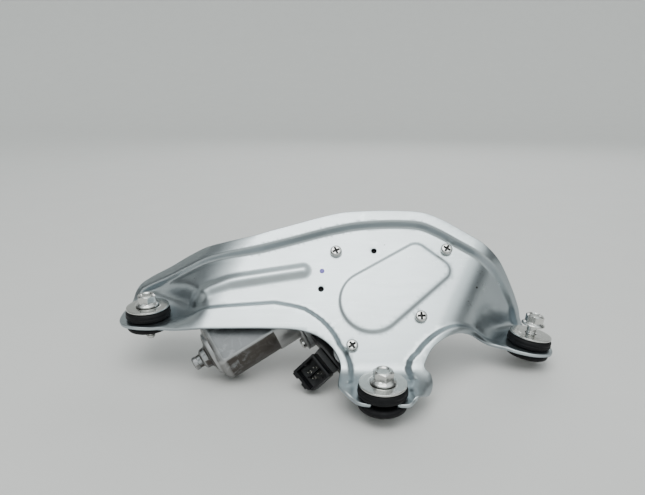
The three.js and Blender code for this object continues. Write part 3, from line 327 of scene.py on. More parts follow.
def connector_plastic():
    look = Look("connector_plastic", (0.008, 0.008, 0.009), 0.0, 0.34, Specular_IOR_Level=0.35)
    cloud = look.noise(6, 3)
    spark = look.noise(0.3, 2)
    look.set("Base Color", look.mixed(cloud, (0.004, 0.004, 0.005), (0.010, 0.010, 0.011)))
    look.set("Roughness", look.spread(cloud, 0.3, 0.7, 0.26, 0.4))
    return look.bump((spark, 0.008), (look.noise(8, 1), 0.05))


def moulded(name, dark, light, roughness):
    """Plain moulded plastic with a faint spark-eroded grain."""
    look = Look(name, light, 0.0, roughness)
    cloud = look.noise(7, 3)
    look.set("Base Color", look.mixed(cloud, dark, light))
    look.set("Roughness", look.spread(cloud, 0.3, 0.7, roughness - 0.06, roughness + 0.08))
    return look.bump((look.noise(0.3, 2), 0.01))


def recess_shade():
    look = Look("recess_shade", (0.05, 0.05, 0.05), 0.8, 0.55)
    cloud = look.noise(0.5, 3)
    look.set("Base Color", look.mixed(cloud, (0.03, 0.03, 0.03), (0.10, 0.10, 0.10)))
    look.set("Roughness", look.spread(cloud, 0.3, 0.7, 0.45, 0.65))
    return look.bump((cloud, 0.02))


def violet_paint():
    look = Look("violet_paint", (0.16, 0.12, 0.52), 0.0, 0.4)
    cloud = look.noise(0.7, 3)
    look.set("Base Color", look.mixed(cloud, (0.11, 0.08, 0.42), (0.26, 0.21, 0.62)))
    look.set("Roughness", look.spread(cloud, 0.3, 0.7, 0.3, 0.5))
    return look.bump((cloud, 0.03))


LOOKS = {
    "zinc_sheet": zinc_sheet(),
    "bright_zinc": bright_zinc(),
    "can_steel": can_steel(),
    "cast_alloy": cast_alloy(),
    "plain_steel": plain_steel(),
    "laminated_steel": laminated_steel(),
    "copper_wire": copper_wire(),
    "sintered_bronze": sintered_bronze(),
    "terminal_tin": terminal_tin(),
    "ferrite": ferrite(),
    "carbon": carbon(),
    "black_rubber": black_rubber(),
    "connector_plastic": connector_plastic(),
    "brush_plate": moulded("brush_plate", (0.035, 0.025, 0.02), (0.06, 0.045, 0.035), 0.5),
    "acetal": moulded("acetal", (0.72, 0.69, 0.60), (0.80, 0.78, 0.70), 0.38),
    "capacitor_case": moulded("capacitor_case", (0.10, 0.06, 0.03), (0.16, 0.10, 0.05), 0.35),
    "adjuster_nylon": moulded("adjuster_nylon", (0.66, 0.64, 0.58), (0.74, 0.72, 0.67), 0.45),
    "violet_paint": violet_paint(),
    "recess_shade": recess_shade(),
}


# ---- mesh pieces ------------------------------------------------------------------------------
def piece(name, points, faces, look, body="base", place=PLATE, stands_for=(), crease=None):
    """A new object from points in a local frame; faces that meet sharper than crease stay sharp."""
    mesh = bpy.data.meshes.new(name)
    world = [(place @ Vector(p)) * MM for p in points]
    mesh.from_pydata(world, [], [tuple(int(i) for i in face) for face in faces])
    return finished(name, mesh, look, body, stands_for, crease)


def finished(name, mesh, look, body, stands_for, crease):
    mesh.validate()
    cleaned = bmesh.new()
    cleaned.from_mesh(mesh)
    bmesh.ops.recalc_face_normals(cleaned, faces=cleaned.faces)
    cleaned.to_mesh(mesh)
    cleaned.free()
    mesh.polygons.foreach_set("use_smooth", [True] * len(mesh.polygons))
    if crease:
        mesh.set_sharp_from_angle(angle=math.radians(crease))
    mesh.materials.clear()
    mesh.materials.append(LOOKS[look].material)
    made = bpy.data.objects.new(name, mesh)
    bpy.context.scene.collection.objects.link(made)
    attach(made, body)
    if stands_for:
        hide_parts(*stands_for)
    return made


def grid_faces(rows, columns, first=0, closed=True):
    """Quads between rows of points, each row a ring when closed."""
    faces = []
    for row in range(rows - 1):
        for i in range(columns if closed else columns - 1):
            j = (i + 1) % columns
            a, b = first + row * columns, first + (row + 1) * columns
            faces.append((a + i, a + j, b + j, b + i))
    return faces


def turned(corners, segments=64, closed=False):
    """Points and faces of a profile of (radius, z) turned about z: closed back on itself, or capped."""
    points = []
    for radius, z in corners:
        for i in range(segments):
            angle = TURN * i / segments
            points.append((radius * math.cos(angle), radius * math.sin(angle), z))
    faces = grid_faces(len(corners), segments)
    last = (len(corners) - 1) * segments
    if closed:
        faces += [(last + i, last + (i + 1) % segments, (i + 1) % segments, i) for i in range(segments)]
    else:
        faces += [tuple(range(segments)), tuple(range(last, last + segments))]
    return points, faces


def carved(radius_at, heights, segments):
    """A capped column whose radius follows both angle and height, such as a thread or a spline."""
    points = []
    for z in heights:
        for i in range(segments):
            angle = TURN * i / segments
            radius = radius_at(angle, z)
            points.append((radius * math.cos(angle), radius * math.sin(angle), z))
    faces = grid_faces(len(heights), segments)
    last = (len(heights) - 1) * segments
    return points, faces + [tuple(range(segments)), tuple(range(last, last + segments))]


def rounded(corners, radius, steps=4, closed=False):
    """The same profile with its corners rounded to at most radius."""
    shape = [Vector(c) for c in corners]
    result = []
    count = len(shape)
    for i, corner in enumerate(shape):
        if not closed and i in (0, count - 1):
            result.append(tuple(corner))
            continue
        before, after = shape[i - 1] - corner, shape[(i + 1) % count] - corner
        reach = min(radius, before.length * 0.45, after.length * 0.45)
        start, end = corner + before.normalized() * reach, corner + after.normalized() * reach
        for step in range(steps + 1):
            t = step / steps
            point = start * (1 - t) ** 2 + corner * (2 * t * (1 - t)) + end * t ** 2
            result.append(tuple(point))
    return result


def softened(node, look, edge=0.35, name=None, crease=40):
    """A copy of a CAD node with its sharp edges rounded, standing in for it."""
    mesh = nodes[node].data.copy()
    soft = bmesh.new()
    soft.from_mesh(mesh)
    bmesh.ops.remove_doubles(soft, verts=soft.verts, dist=0.004 * MM)
    bmesh.ops.dissolve_limit(soft, angle_limit=math.radians(1), verts=soft.verts, edges=soft.edges)
    bmesh.ops.recalc_face_normals(soft, faces=soft.faces)
    sharp = [e for e in soft.edges if len(e.link_faces) == 2 and e.calc_face_angle(0) > math.radians(crease)]
    bmesh.ops.bevel(soft, geom=sharp, offset=edge * MM, offset_type="OFFSET", segments=2, profile=0.5,
                    affect="EDGES", clamp_overlap=True)
    bmesh.ops.triangulate(soft, faces=[f for f in soft.faces if len(f.verts) > 4])
    soft.to_mesh(mesh)
    soft.free()
    body = next(b for b, members in frame["record"]["behaviour"]["bodies"].items() if node in members)
    return finished(name or node + "_finish", mesh, look, body, (node,), crease)


# ---- the pressed sheet ------------------------------------------------------------------------
SHEET = 2.0  # thickness
ROLL = 0.45  # radius of the sheet's sheared edge
EDGE_INSET = 0.12  # keeps the smoother outline within the drawn one
RIM_WALL = 4.0
LEFT_BEND = {"at": (-61, 66.4), "across": (-0.889, 0.459), "slope": -0.8, "blend": 14}
RIGHT_BEND = {"at": (94.7, 60.6), "across": (0.89, -0.453), "slope": -1.25, "blend": 13}
FOOT_BLEND = 5
PAD_INNER, PAD_OUTER, FRONT_BLEND, SEAT_CLEAR = 15.5, 40, 12, 13.9
PAD_SQUEEZE = math.cos(math.radians(50))
EAR_HOLE = 6.4
SCREWS = [(8.1, 72.8), (74.5, 74.1), (56.5, 32.5), (16.6, 15.7)]
GAUGE_HOLES = [(31, 73.5), (-0.9, 49.4)]

# Edge of the bracket, anticlockwise from the left ear: u, s, rim width, rim height.
EDGE = [
    (-121.5, 34, 5, 0), (-118, 30.5, 5, 0), (-110, 28, 6, 0.3), (-97, 27, 8, 1.5), (-82, 25.2, 12, 3.5),
    (-68, 24.6, 15, 4.5), (-28, 24.6, 18, 4.5), (-13, 23.6, 15.5, 4.5), (-2.6, 20.1, 11, 4.5),
    (5.8, 13, 6.8, 4.5), (9.8, 4, 7.6, 4.5), (8.6, -3, 9, 4.5), (8.2, -8, 9, 4), (11.4, -12, 8, 3),
    (14.2, -14.6, 7, 1.5), (17.6, -17.8, 4, 0.3), (22.5, -19.2, 4, 0), (37.5, -19.4, 4, 0),
    (44, -19.2, 5, 0.5), (47.6, -15.6, 8, 3.5), (51.4, -14.4, 13, 4.5), (57.5, -12.5, 14.5, 4.5),
    (59.9, -7, 16, 4.5), (59.2, -0.8, 15, 4.5), (56, 3.2, 11, 4.5), (58, 8.7, 8, 4.5), (61.6, 14, 7, 4.5),
    (69.4, 19.6, 7, 4.5), (77.6, 22.8, 7, 4.5), (85.5, 23.6, 6.5, 4), (95, 23.2, 6, 3), (104, 21.6, 5, 1.5),
    (116.5, 17, 5, 0.5), (128, 14.8, 5, 0), (139, 16.8, 5, 0), (142.5, 22, 5, 0), (141, 31, 5, 0),
    (136.5, 40, 6, 1), (129.5, 47.5, 7, 3.5), (122.5, 56, 8, 4.5), (112, 66.4, 9, 4.5), (100, 74.6, 10, 4.5),
    (86, 84, 10.4, 4.5), (72.5, 92.6, 10.6, 4.5), (61.5, 97.2, 10.5, 4.5), (46, 98.6, 10.5, 4.5),
    (26.8, 98.4, 11, 4.5), (10.6, 97, 12, 4.5), (-25, 87, 11.5, 4.5), (-42.5, 82, 11, 4.5),
    (-58, 80.2, 11, 4.5), (-73, 79.6, 12, 4.5), (-84, 77, 12, 4.5), (-97, 72.6, 11, 4.5),
    (-112, 68.8, 10, 4.5), (-119.5, 65.4, 9, 4.2), (-122.8, 61, 8, 3), (-124, 54, 7, 1), (-124, 44, 5, 0),
]
BEAD = np.array([(-11.5, 61), (-33, 57.6), (-55, 54), (-67, 50.4), (-76.5, 45.6)], float)
BEAD_HALF, BEAD_HEIGHT = 5.8, 2.2
PANEL_RISE, PANEL_STEP = 1.1, 1.35


def ease(t):
    x = np.clip(t, 0, 1)
    return x * x * (3 - 2 * x)


def lesser(a, b, k):
    return np.minimum(a, b) - np.maximum(k - np.abs(a - b), 0) ** 2 * 0.25 / k


def centripetal(points, per_span):
    """A closed smooth curve through points: rows of coordinates, the first two of them plane ones."""
    count = len(points)
    result = []
    for i in range(count):
        p = [np.array(points[(i + k) % count], float) for k in (-1, 0, 1, 2)]
        gaps = [max(np.hypot(*(p[k + 1][:2] - p[k][:2])), 1e-6) ** 0.5 for k in range(3)]
        start = ((p[1] - p[0]) / gaps[0] - (p[2] - p[0]) / (gaps[0] + gaps[1]) + (p[2] - p[1]) / gaps[1]) * gaps[1]
        end = ((p[2] - p[1]) / gaps[1] - (p[3] - p[1]) / (gaps[1] + gaps[2]) + (p[3] - p[2]) / gaps[2]) * gaps[1]
        for j in range(per_span):
            t = j / per_span
            point = (p[1] * (2 * t ** 3 - 3 * t ** 2 + 1) + p[2] * (3 * t ** 2 - 2 * t ** 3)
                     + start * (t ** 3 - 2 * t ** 2 + t) + end * (t ** 3 - t ** 2))
            point[2:] = p[1][2:] * (1 - t) + p[2][2:] * t
            result.append(point)
    return np.array(result)


def belt(circles, segments=96):
    """Convex outline round circles of (x, y, radius), anticlockwise."""
    cloud = sorted({
        (round(x + r * math.cos(TURN * i / segments), 6), round(y + r * math.sin(TURN * i / segments), 6))
        for x, y, r in circles for i in range(segments)
    })

    def chain(points):
        hull = []
        for p in points:
            while len(hull) > 1 and ((hull[-1][0] - hull[-2][0]) * (p[1] - hull[-2][1])
                                     - (hull[-1][1] - hull[-2][1]) * (p[0] - hull[-2][0])) <= 0:
                hull.pop()
            hull.append(p)
        return hull[:-1]

    return np.array(chain(cloud) + chain(cloud[::-1]))


def nearest(line, points, closed=True, values=None):
    """Distance from each point to a polyline, and the values carried along it at that place."""
    ends = np.roll(line, -1, axis=0) if closed else line[1:]
    starts = line if closed else line[:-1]
    best = np.full(len(points), np.inf)
    carried = np.zeros((len(points), 0 if values is None else values.shape[1]))
    for k in range(len(starts)):
        step = ends[k] - starts[k]
        t = np.clip(((points - starts[k]) @ step) / (step @ step), 0, 1)
        gap = points - starts[k] - t[:, None] * step
        distance = np.hypot(gap[:, 0], gap[:, 1])
        closer = distance < best
        best[closer] = distance[closer]
        if values is not None:
            following = values[(k + 1) % len(values)]
            carried[closer] = values[k] + t[closer, None] * (following - values[k])
    return best, carried


def inside(outline, points):
    """Whether each point lies inside a closed outline."""
    result = np.zeros(len(points), bool)
    for a, b in zip(outline, np.roll(outline, -1, axis=0)):
        crosses = (a[1] > points[:, 1]) != (b[1] > points[:, 1])
        rise = b[1] - a[1] if abs(b[1] - a[1]) > 1e-12 else 1e-12
        result ^= crosses & (points[:, 0] < (b[0] - a[0]) * (points[:, 1] - a[1]) / rise + a[0])
    return result


EDGE_LINE = centripetal(EDGE, 4)
PANEL = belt([(*WHEEL_AT, 18.4), (56.1, 71.1, 7), (69.1, 61.1, 6.5)])


def seat_radius(pad, points):
    return np.hypot(points[:, 0] - pad["u"], (points[:, 1] - pad["s"]) / PAD_SQUEEZE)


def sheet_height(points):
    """Height of the sheet's front over the main face: folds, seats, rim, bead and raised panel."""
    u, s = points[:, 0], points[:, 1]
    fold = -lesser(np.zeros_like(s), FOLD * s, FOOT_BLEND)
    w = fold.copy()
    for bend in (LEFT_BEND, RIGHT_BEND):
        across = (u - bend["at"][0]) * bend["across"][0] + (s - bend["at"][1]) * bend["across"][1]
        w = lesser(w, bend["slope"] * across, bend["blend"])
    w += (fold - w) * (1 - ease((seat_radius(PADS["centre"], points) - PAD_INNER) / FRONT_BLEND))
    for pad in (PADS["left"], PADS["right"]):
        seat = pad["w"] + pad["slope"][0] * (u - pad["u"]) + pad["slope"][1] * (s - pad["s"])
        share = ease((seat_radius(pad, points) - PAD_INNER) / (PAD_OUTER - PAD_INNER))
        w = w * share + seat * (1 - share)
    depth, carried = nearest(EDGE_LINE[:, :2], points, values=EDGE_LINE[:, 2:])
    depth = np.where(inside(EDGE_LINE[:, :2], points), depth, 0)
    clear = np.min([seat_radius(pad, points) for pad in PADS.values()], axis=0) - SEAT_CLEAR
    rim = carried[:, 1] * (1 - ease((depth - carried[:, 0] + RIM_WALL) / RIM_WALL)) * ease(clear / RIM_WALL)
    bead = BEAD_HEIGHT * (1 - ease(nearest(BEAD, points, closed=False)[0] / BEAD_HALF))
    to_panel = nearest(PANEL, points)[0] * np.where(inside(PANEL, points), 1, -1)
    return w + rim + bead + PANEL_RISE * ease((to_panel + PANEL_STEP) / (2 * PANEL_STEP))


def sheet_surface(points):
    """Places on the front of the sheet and its unit normals."""
    step = 0.06
    du, ds = np.array([step, 0]), np.array([0, step])
    slope_u = (sheet_height(points + du) - sheet_height(points - du)) / (2 * step)
    slope_s = (sheet_height(points + ds) - sheet_height(points - ds)) / (2 * step)
    normals = np.stack([-slope_u, -slope_s, np.ones(len(points))], 1)
    normals /= np.linalg.norm(normals, axis=1)[:, None]
    return np.column_stack([points, sheet_height(points)]), normals


def resampled(outline, spacing):
    """A closed outline with points evenly spaced along it."""
    closed = np.vstack([outline, outline[:1]])
    lengths = np.concatenate([[0], np.cumsum(np.hypot(*np.diff(closed, axis=0).T))])
    places = np.linspace(0, lengths[-1], int(lengths[-1] / spacing) + 1)[:-1]
    return np.column_stack([np.interp(places, lengths, closed[:, k]) for k in (0, 1)])


def slotted_outline():
    """The edge with the front ear's open slot let into it."""
    pad = PADS["centre"]
    outline = centripetal([(u, s) for u, s, _, _ in EDGE], 12)
    in_slot = (np.abs(outline[:, 0] - pad["u"]) < EAR_HOLE) & (outline[:, 1] < pad["s"])
    first = int(np.argmax(in_slot))
    arch = [
        (pad["u"] - EAR_HOLE * math.cos(a), pad["s"] + EAR_HOLE * math.sin(a) * PAD_SQUEEZE)
        for a in np.linspace(0, math.pi, 25)
    ]
    foot = outline[first][1]
    arch = [(pad["u"] - EAR_HOLE, foot + 0.4), *arch, (pad["u"] + EAR_HOLE, foot + 0.4)]
    kept = outline[~in_slot]
    return resampled(np.vstack([kept[:first], arch, kept[first:]]), 1.0)


def hole_outline(u, s, radius, squeeze=1.0, count=28):
    """A hole's edge, run clockwise so that its metal is on the left."""
    angles = -np.arange(count) * TURN / count
    return np.column_stack([u + radius * np.cos(angles), s + radius * np.sin(angles) * squeeze])


def moved_in(outline, reach):
    """The outline moved to its left, into the metal."""
    along = np.roll(outline, -1, axis=0) - np.roll(outline, 1, axis=0)
    along /= np.hypot(along[:, 0], along[:, 1])[:, None]
    return outline + reach * np.column_stack([-along[:, 1], along[:, 0]])


def skin_points(outlines):
    """Points over the sheet, close together where its height changes quickly."""
    fine = 0.8
    us, ss = np.meshgrid(np.arange(-126, 146, fine), np.arange(-22, 101, fine))
    us = us + (np.arange(us.shape[0]) % 2)[:, None] * fine / 2
    points = np.column_stack([us.ravel(), ss.ravel()])
    rows, columns = np.divmod(np.arange(len(points)), us.shape[1])
    points = points + 0.02 * np.column_stack([np.sin(rows * 1.7 + columns), np.cos(columns * 2.3 + rows)])
    kept = inside(outlines[0], points)
    points, rows, columns = points[kept], rows[kept], columns[kept]
    depth, carried = nearest(EDGE_LINE[:, :2], points, values=EDGE_LINE[:, 2:])
    on_wall = (depth > carried[:, 0] - RIM_WALL - 0.6) & (depth < carried[:, 0] + 0.6) & (carried[:, 1] > 0.2)
    on_panel = nearest(PANEL, points)[0] < PANEL_STEP + 0.5
    on_bead = nearest(BEAD, points, closed=False)[0] < BEAD_HALF + 0.6
    coarse = (rows % 3 == 0) & (columns % 3 == 0)
    points = points[on_wall | on_panel | on_bead | coarse]
    for i, outline in enumerate(outlines):
        clear = nearest(outline, points)[0] > 0.55
        points = points[clear & (inside(outline, points) == (i == 0))]
    return points


def bracket_sheet():
    """The bracket: two skins one thickness apart, joined by a rolled wall round every edge."""
    outlines = [moved_in(slotted_outline(), EDGE_INSET)]
    for pad in (PADS["left"], PADS["right"]):
        outlines.append(hole_outline(pad["u"], pad["s"], EAR_HOLE, PAD_SQUEEZE, 48))
    outlines += [hole_outline(u, s, 2.4) for u, s in SCREWS] + [hole_outline(u, s, 1.5) for u, s in GAUGE_HOLES]
    skins = [moved_in(outline, ROLL) for outline in outlines]
    field = skin_points(skins)
    flat = np.vstack([*skins, field])
    edges, first = [], 0
    for skin in skins:
        edges += [(first + i, first + (i + 1) % len(skin)) for i in range(len(skin))]
        first += len(skin)
    verts, _, faces, *_ = geometry.delaunay_2d_cdt([Vector(p) for p in flat], edges, [], 0, 1e-5)
    if len(verts) != len(flat):
        raise RuntimeError("the sheet's points run into each other")
    faces = np.array(faces)
    centres = flat[faces].mean(axis=1)
    kept = inside(skins[0], centres)
    for skin in skins[1:]:
        kept &= ~inside(skin, centres)
    faces = faces[kept]
    front, normals = sheet_surface(flat)
    points = [front, front - SHEET * normals]
    count = len(flat)
    faces = [tuple(f) for f in faces] + [tuple(f[::-1] + count) for f in faces]
    made, first, steps = 2 * count, 0, 3
    for outline in outlines:
        size = len(outline)
        ring = slice(first, first + size)
        outward = np.column_stack([-moved_in(outline, 1) + outline, np.zeros(size)])
        outward -= (outward * normals[ring]).sum(1)[:, None] * normals[ring]
        outward /= np.linalg.norm(outward, axis=1)[:, None]
        rings = [np.arange(first, first + size)]
        for half in (0, 1):
            for k in range(1 - half, steps + 1 - half):
                turn = math.pi / 2 * (k / steps if half == 0 else 1 - k / steps)
                drop = ROLL * (1 - math.cos(turn)) if half == 0 else SHEET - ROLL * (1 - math.cos(turn))
                points.append(front[ring] + outward * ROLL * math.sin(turn) - normals[ring] * drop)
                rings.append(np.arange(made, made + size))
                made += size
        rings.append(np.arange(count + first, count + first + size))
        for upper, lower in zip(rings, rings[1:]):
            for i in range(size):
                j = (i + 1) % size
                faces.append((upper[i], lower[i], lower[j], upper[j]))
        first += size
    piece("bracket_sheet", np.vstack(points), faces, "zinc_sheet", stands_for=("bracket_plate",))


def paint_mark():
    points, faces = turned([(1.5, 0.0), (1.4, 0.07), (0.9, 0.11), (0.05, 0.12)], 28)
    piece("paint_mark", points, faces, "violet_paint", place=PLATE @ Matrix.Translation((-0.3, 60.6, 0.02)))


def gauge_hole_shade():
    """Black discs just behind the gauge holes: painted shade, dark sheets put where the holes show only shade."""
    for index, (u, s) in enumerate(GAUGE_HOLES):
        points, faces = turned(rounded([(0.05, -2.25), (2.2, -2.25), (2.2, -2.05), (0.05, -2.05)], 0.05), 32)
        place = PLATE @ Matrix.Translation((u, s, 0))
        piece(f"gauge_hole_shade_{index + 1}", points, faces, "black_rubber", place=place, crease=50)


# ---- ear hardware -----------------------------------------------------------------------------
RUBBER_RADIUS, RUBBER_ABOVE, RUBBER_BELOW, GROOVE_RADIUS = 13.2, 6.0, 4.6, 6.1
SLEEVE_OUT, SLEEVE_IN, SLEEVE_FLANGE, WASHER_RADIUS = 4.4, 3.4, 1.5, 12.5
BOLT_LENGTH = 21.4
GAP = 0.3


def grommet(side, place):
    foot, top, bore = -SHEET - RUBBER_BELOW, RUBBER_ABOVE, SLEEVE_OUT + 0.3
    upper = [
        (GROOVE_RADIUS, GAP), (RUBBER_RADIUS - 1.4, GAP), (RUBBER_RADIUS - 0.25, 1.2), (RUBBER_RADIUS, 2.6),
        (RUBBER_RADIUS - 0.35, 3.2), (RUBBER_RADIUS - 0.1, 4.2), (RUBBER_RADIUS - 0.7, top - 0.5),
        (RUBBER_RADIUS - 1.6, top), (bore, top),
    ]
    lower = [
        (bore, foot), (RUBBER_RADIUS - 1.8, foot), (RUBBER_RADIUS - 0.5, foot + 0.6),
        (RUBBER_RADIUS, foot + 2.0), (RUBBER_RADIUS - 0.2, -SHEET - 1.2), (RUBBER_RADIUS - 1.4, -SHEET - GAP),
        (GROOVE_RADIUS, -SHEET - GAP),
    ]
    points, faces = turned(rounded(lower + upper, 0.7, closed=True), 72, closed=True)
    piece(f"grommet_{side}_rubber", points, faces, "black_rubber", place=place, stands_for=(f"grommet_{side}",))


def sleeve(side, place):
    seat, top, foot = RUBBER_ABOVE + GAP, RUBBER_ABOVE + SLEEVE_FLANGE, -SHEET - RUBBER_BELOW
    profile = rounded([
        (SLEEVE_IN, foot), (SLEEVE_OUT, foot), (SLEEVE_OUT, seat), (WASHER_RADIUS, seat),
        (WASHER_RADIUS, top - 0.12), (SLEEVE_IN + 4.6, top - 0.12), (SLEEVE_IN + 4.2, top), (SLEEVE_IN, top),
    ], 0.4, closed=True)
    points, faces = turned(profile, 96, closed=True)
    piece(f"sleeve_{side}_flanged", points, faces, "bright_zinc", place=place, stands_for=(f"sleeve_{side}",))


def flange_bolt(side, place):
    """M6 bolt: pressed hex head with a dished top, flange and a cut thread."""
    half_flats, corner = 4.98, 5.72

    def head(angle, z):
        turn = (angle + TURN / 12) % (TURN / 6) - TURN / 12
        hexagon = min(half_flats / math.cos(turn), corner - 0.08)
        flange = {True: 6.95 - max(z - 0.75, 0) ** 1.5 * 1.2, False: 0}[z < 2.6]
        crown = corner + 0.05 - max(z - 5.75, 0) * 1.5
        return max(min(hexagon, crown), flange)

    heights = [0, 0.06, 0.2, 0.45, 0.75, 0.95, 1.15, 1.4, 1.7, 2.0, 2.3, 2.59, 2.61, 3.5, 4.6, 5.6, 5.75, 5.9, 6.1,
               6.3, 6.5, 6.65]
    heights = [z for z in heights]
    points, faces = carved(lambda a, z: head(a, z) - (0.35 if z == 0 else 0.1 if z == 0.06 else 0), heights, 96)
    faces.pop()
    rim = len(points) - 96
    for radius, z in ((4.15, 6.78), (3.5, 6.7), (3.15, 6.3), (2.8, 6.05), (0.6, 5.98)):
        points += [(radius * math.cos(TURN * i / 96), radius * math.sin(TURN * i / 96), z) for i in range(96)]
    faces += grid_faces(6, 96, rim)
    faces.append(tuple(range(len(points) - 96, len(points))))
    made = piece(f"bolt_{side}_head", points, faces, "bright_zinc", f"bolt_{side}_body", place, (f"bolt_{side}",), 24)

    pitch = 1.0

    def thread(angle, z):
        ridge = abs(((z / pitch - angle / TURN) % 1) - 0.5) * 2
        plain = float(ease(np.array((z + 4.0) / 0.8)))
        tip = max(0.0, (-BOLT_LENGTH + 1.6 - z)) * 0.62
        return (2.62 + 0.36 * ridge) * (1 - plain) + 2.9 * plain - tip

    heights = np.linspace(-BOLT_LENGTH + 0.05, -0.02, int(BOLT_LENGTH * 8))
    points, faces = carved(thread, heights, 32)
    piece(f"bolt_{side}_thread", points, faces, "bright_zinc", f"bolt_{side}_body", place, crease=60)
    return made


def ear_hardware(side):
    place = ear_place(PADS[side])
    grommet(side, place)
    sleeve(side, place)
    lift = RUBBER_ABOVE + SLEEVE_FLANGE + BOLT_RAISED[side]
    flange_bolt(side, place @ Matrix.Translation((0, 0, lift)) @ Matrix.Rotation(BOLT_TURN[side], 4, "Z"))


# ---- screws -----------------------------------------------------------------------------------
def recessed_head(radius, height, recess, turn, arm=2.1, width=0.5):
    """A pan head, z = 0 under it, with a tapered cross sunk in its top; also the faces of the cross."""
    rings, count = 30, 96
    points = [(radius * 0.97 * math.cos(TURN * i / count), radius * 0.97 * math.sin(TURN * i / count), 0.0)
              for i in range(count)]
    levels = [(radius, 0.12), (radius, height * 0.5), (radius * 0.985, height * 0.6)]
    for r, z in levels:
        points += [(r * math.cos(TURN * i / count), r * math.sin(TURN * i / count), z) for i in range(count)]
    deep = set()
    for k in range(1, rings):
        r = radius * 0.985 * math.cos(math.pi / 2 * k / rings)
        dome = height * (0.6 + 0.4 * math.sin(math.pi / 2 * min(1, k / rings * 1.5)))
        for i in range(count):
            angle = TURN * i / count
            x, y = abs(r * math.cos(angle - turn)), abs(r * math.sin(angle - turn))
            arms = max(min(arm - x, width - y), min(arm - y, width - x))
            sunk = recess * float(ease(np.array(arms / 0.3 + 0.5)))
            if sunk > 0.3 * recess:
                deep.add(len(points))
            points.append((r * math.cos(angle), r * math.sin(angle), dome - sunk))
    faces = grid_faces(len(points) // count, count)
    last = len(points) - count
    faces += [tuple(range(count)), tuple(range(last, last + count))]
    return points, faces, [deep.issuperset(face) for face in faces]


def shaded_recess(made, deep):
    """Painted shade inside a screw's cross: its sunk faces get the dark recess_shade material."""
    made.data.materials.append(LOOKS["recess_shade"].material)
    made.data.polygons.foreach_set("material_index", [int(flag) for flag in deep])


def cover_screw(index):
    u, s = SCREWS[index]
    place = PLATE @ Matrix.Translation((u, s, GAP))
    points, faces, deep = recessed_head(3.5, 2.6, 1.9, 0.6 * index + 0.4)
    node = f"cover_screw_{index + 1}"
    made = piece(node + "_head", points, faces, "bright_zinc", place=place, stands_for=(node,), crease=50)
    shaded_recess(made, deep)
    points, faces = carved(lambda a, z: 1.68 + 0.27 * abs(((z / 0.7 - a / TURN) % 1) - 0.5) * 2,
                           np.linspace(-11, 0, 110), 24)
    piece(node + "_thread", points, faces, "bright_zinc", place=place, crease=60)


def motor_screw(name, side):
    place = MOTOR @ Matrix.Translation((-43.8, side * 23.8, 0)) @ Matrix.Rotation(-math.pi / 2, 4, "Y")
    points, faces, deep = recessed_head(3.1, 2.4, 1.5, 0.0, 1.9, 0.45)
    made = piece(name + "_head", points, faces, "bright_zinc", place=place, stands_for=(name,), crease=50)
    shaded_recess(made, deep)
    points, faces = turned([(1.2, -8), (1.5, -7.6), (1.5, 0)], 24)
    piece(name + "_shank", points, faces, "bright_zinc", place=place, crease=40)


# ---- motor can --------------------------------------------------------------------------------
CAN = {"radius": 18.9, "flat": 15.0, "back": -92.5, "step": -56.0, "mouth": -42.0, "boss_end": -105.5}
ALONG_SHAFT = Matrix.Rotation(math.pi / 2, 4, "Y")


def can_ring(x, radius, flat, count=144):
    """The can's round section with its two flats, at one place on the axis."""
    ring = []
    for i in range(count):
        angle = TURN * i / count
        y, z = radius * math.cos(angle), radius * math.sin(angle)
        ring.append((x, y, math.copysign(float(lesser(abs(z), flat, 0.6)), z)))
    return ring


def motor_can():
    radius, flat, back = CAN["radius"], CAN["flat"], CAN["back"]
    corner = 4.5
    sections = [(CAN["mouth"], radius + 0.65, flat + 0.28), (CAN["step"] - 0.6, radius + 0.65, flat + 0.28),
                (CAN["step"] - 1.0, radius + 0.5, flat + 0.2), (CAN["step"] - 1.6, radius, flat)]
    sections += [(x, radius, flat) for x in np.linspace(CAN["step"] - 4, back + corner + 0.2, 8)]
    for k in range(9):
        turn = math.pi / 2 * k / 8
        inset = corner * (1 - math.cos(turn))
        sections.append((back + corner * (1 - math.sin(turn)), radius - inset, flat - inset))
    points = [p for section in sections for p in can_ring(*section)]
    count = 144
    faces = grid_faces(len(sections), count)
    last = len(points) - count
    inner = [(x, radius - 1.2, flat - 1.2) for x in (CAN["mouth"], back + 6)]
    points += [p for section in inner for p in can_ring(*section)]
    faces += grid_faces(2, count, last + count)
    faces += [(i, (i + 1) % count, last + count + (i + 1) % count, last + count + i) for i in range(count)]
    faces += [tuple(range(last, last + count)), tuple(range(last + 2 * count, last + 3 * count))]
    piece("motor_can_shell", points, faces, "can_steel", place=MOTOR, stands_for=("motor_can",), crease=35)


def motor_boss():
    """Rear bearing cup: a shallow dome with a ring and a stub."""
    end = CAN["boss_end"]
    profile = rounded([
        (13.7, CAN["back"] + 0.8), (13.4, CAN["back"] - 1.3), (11.4, -94.7), (7.6, -95.4), (6.3, -96.2), (5.9, -99.2),
        (4.9, -99.9), (3.9, -100.2), (3.75, -102.4), (4.05, -102.8), (4.05, end + 0.6), (3.3, end), (0.3, end),
    ], 0.5)
    points, faces = turned(profile, 72)
    piece("motor_boss", points, faces, "can_steel", place=MOTOR @ ALONG_SHAFT, crease=50)


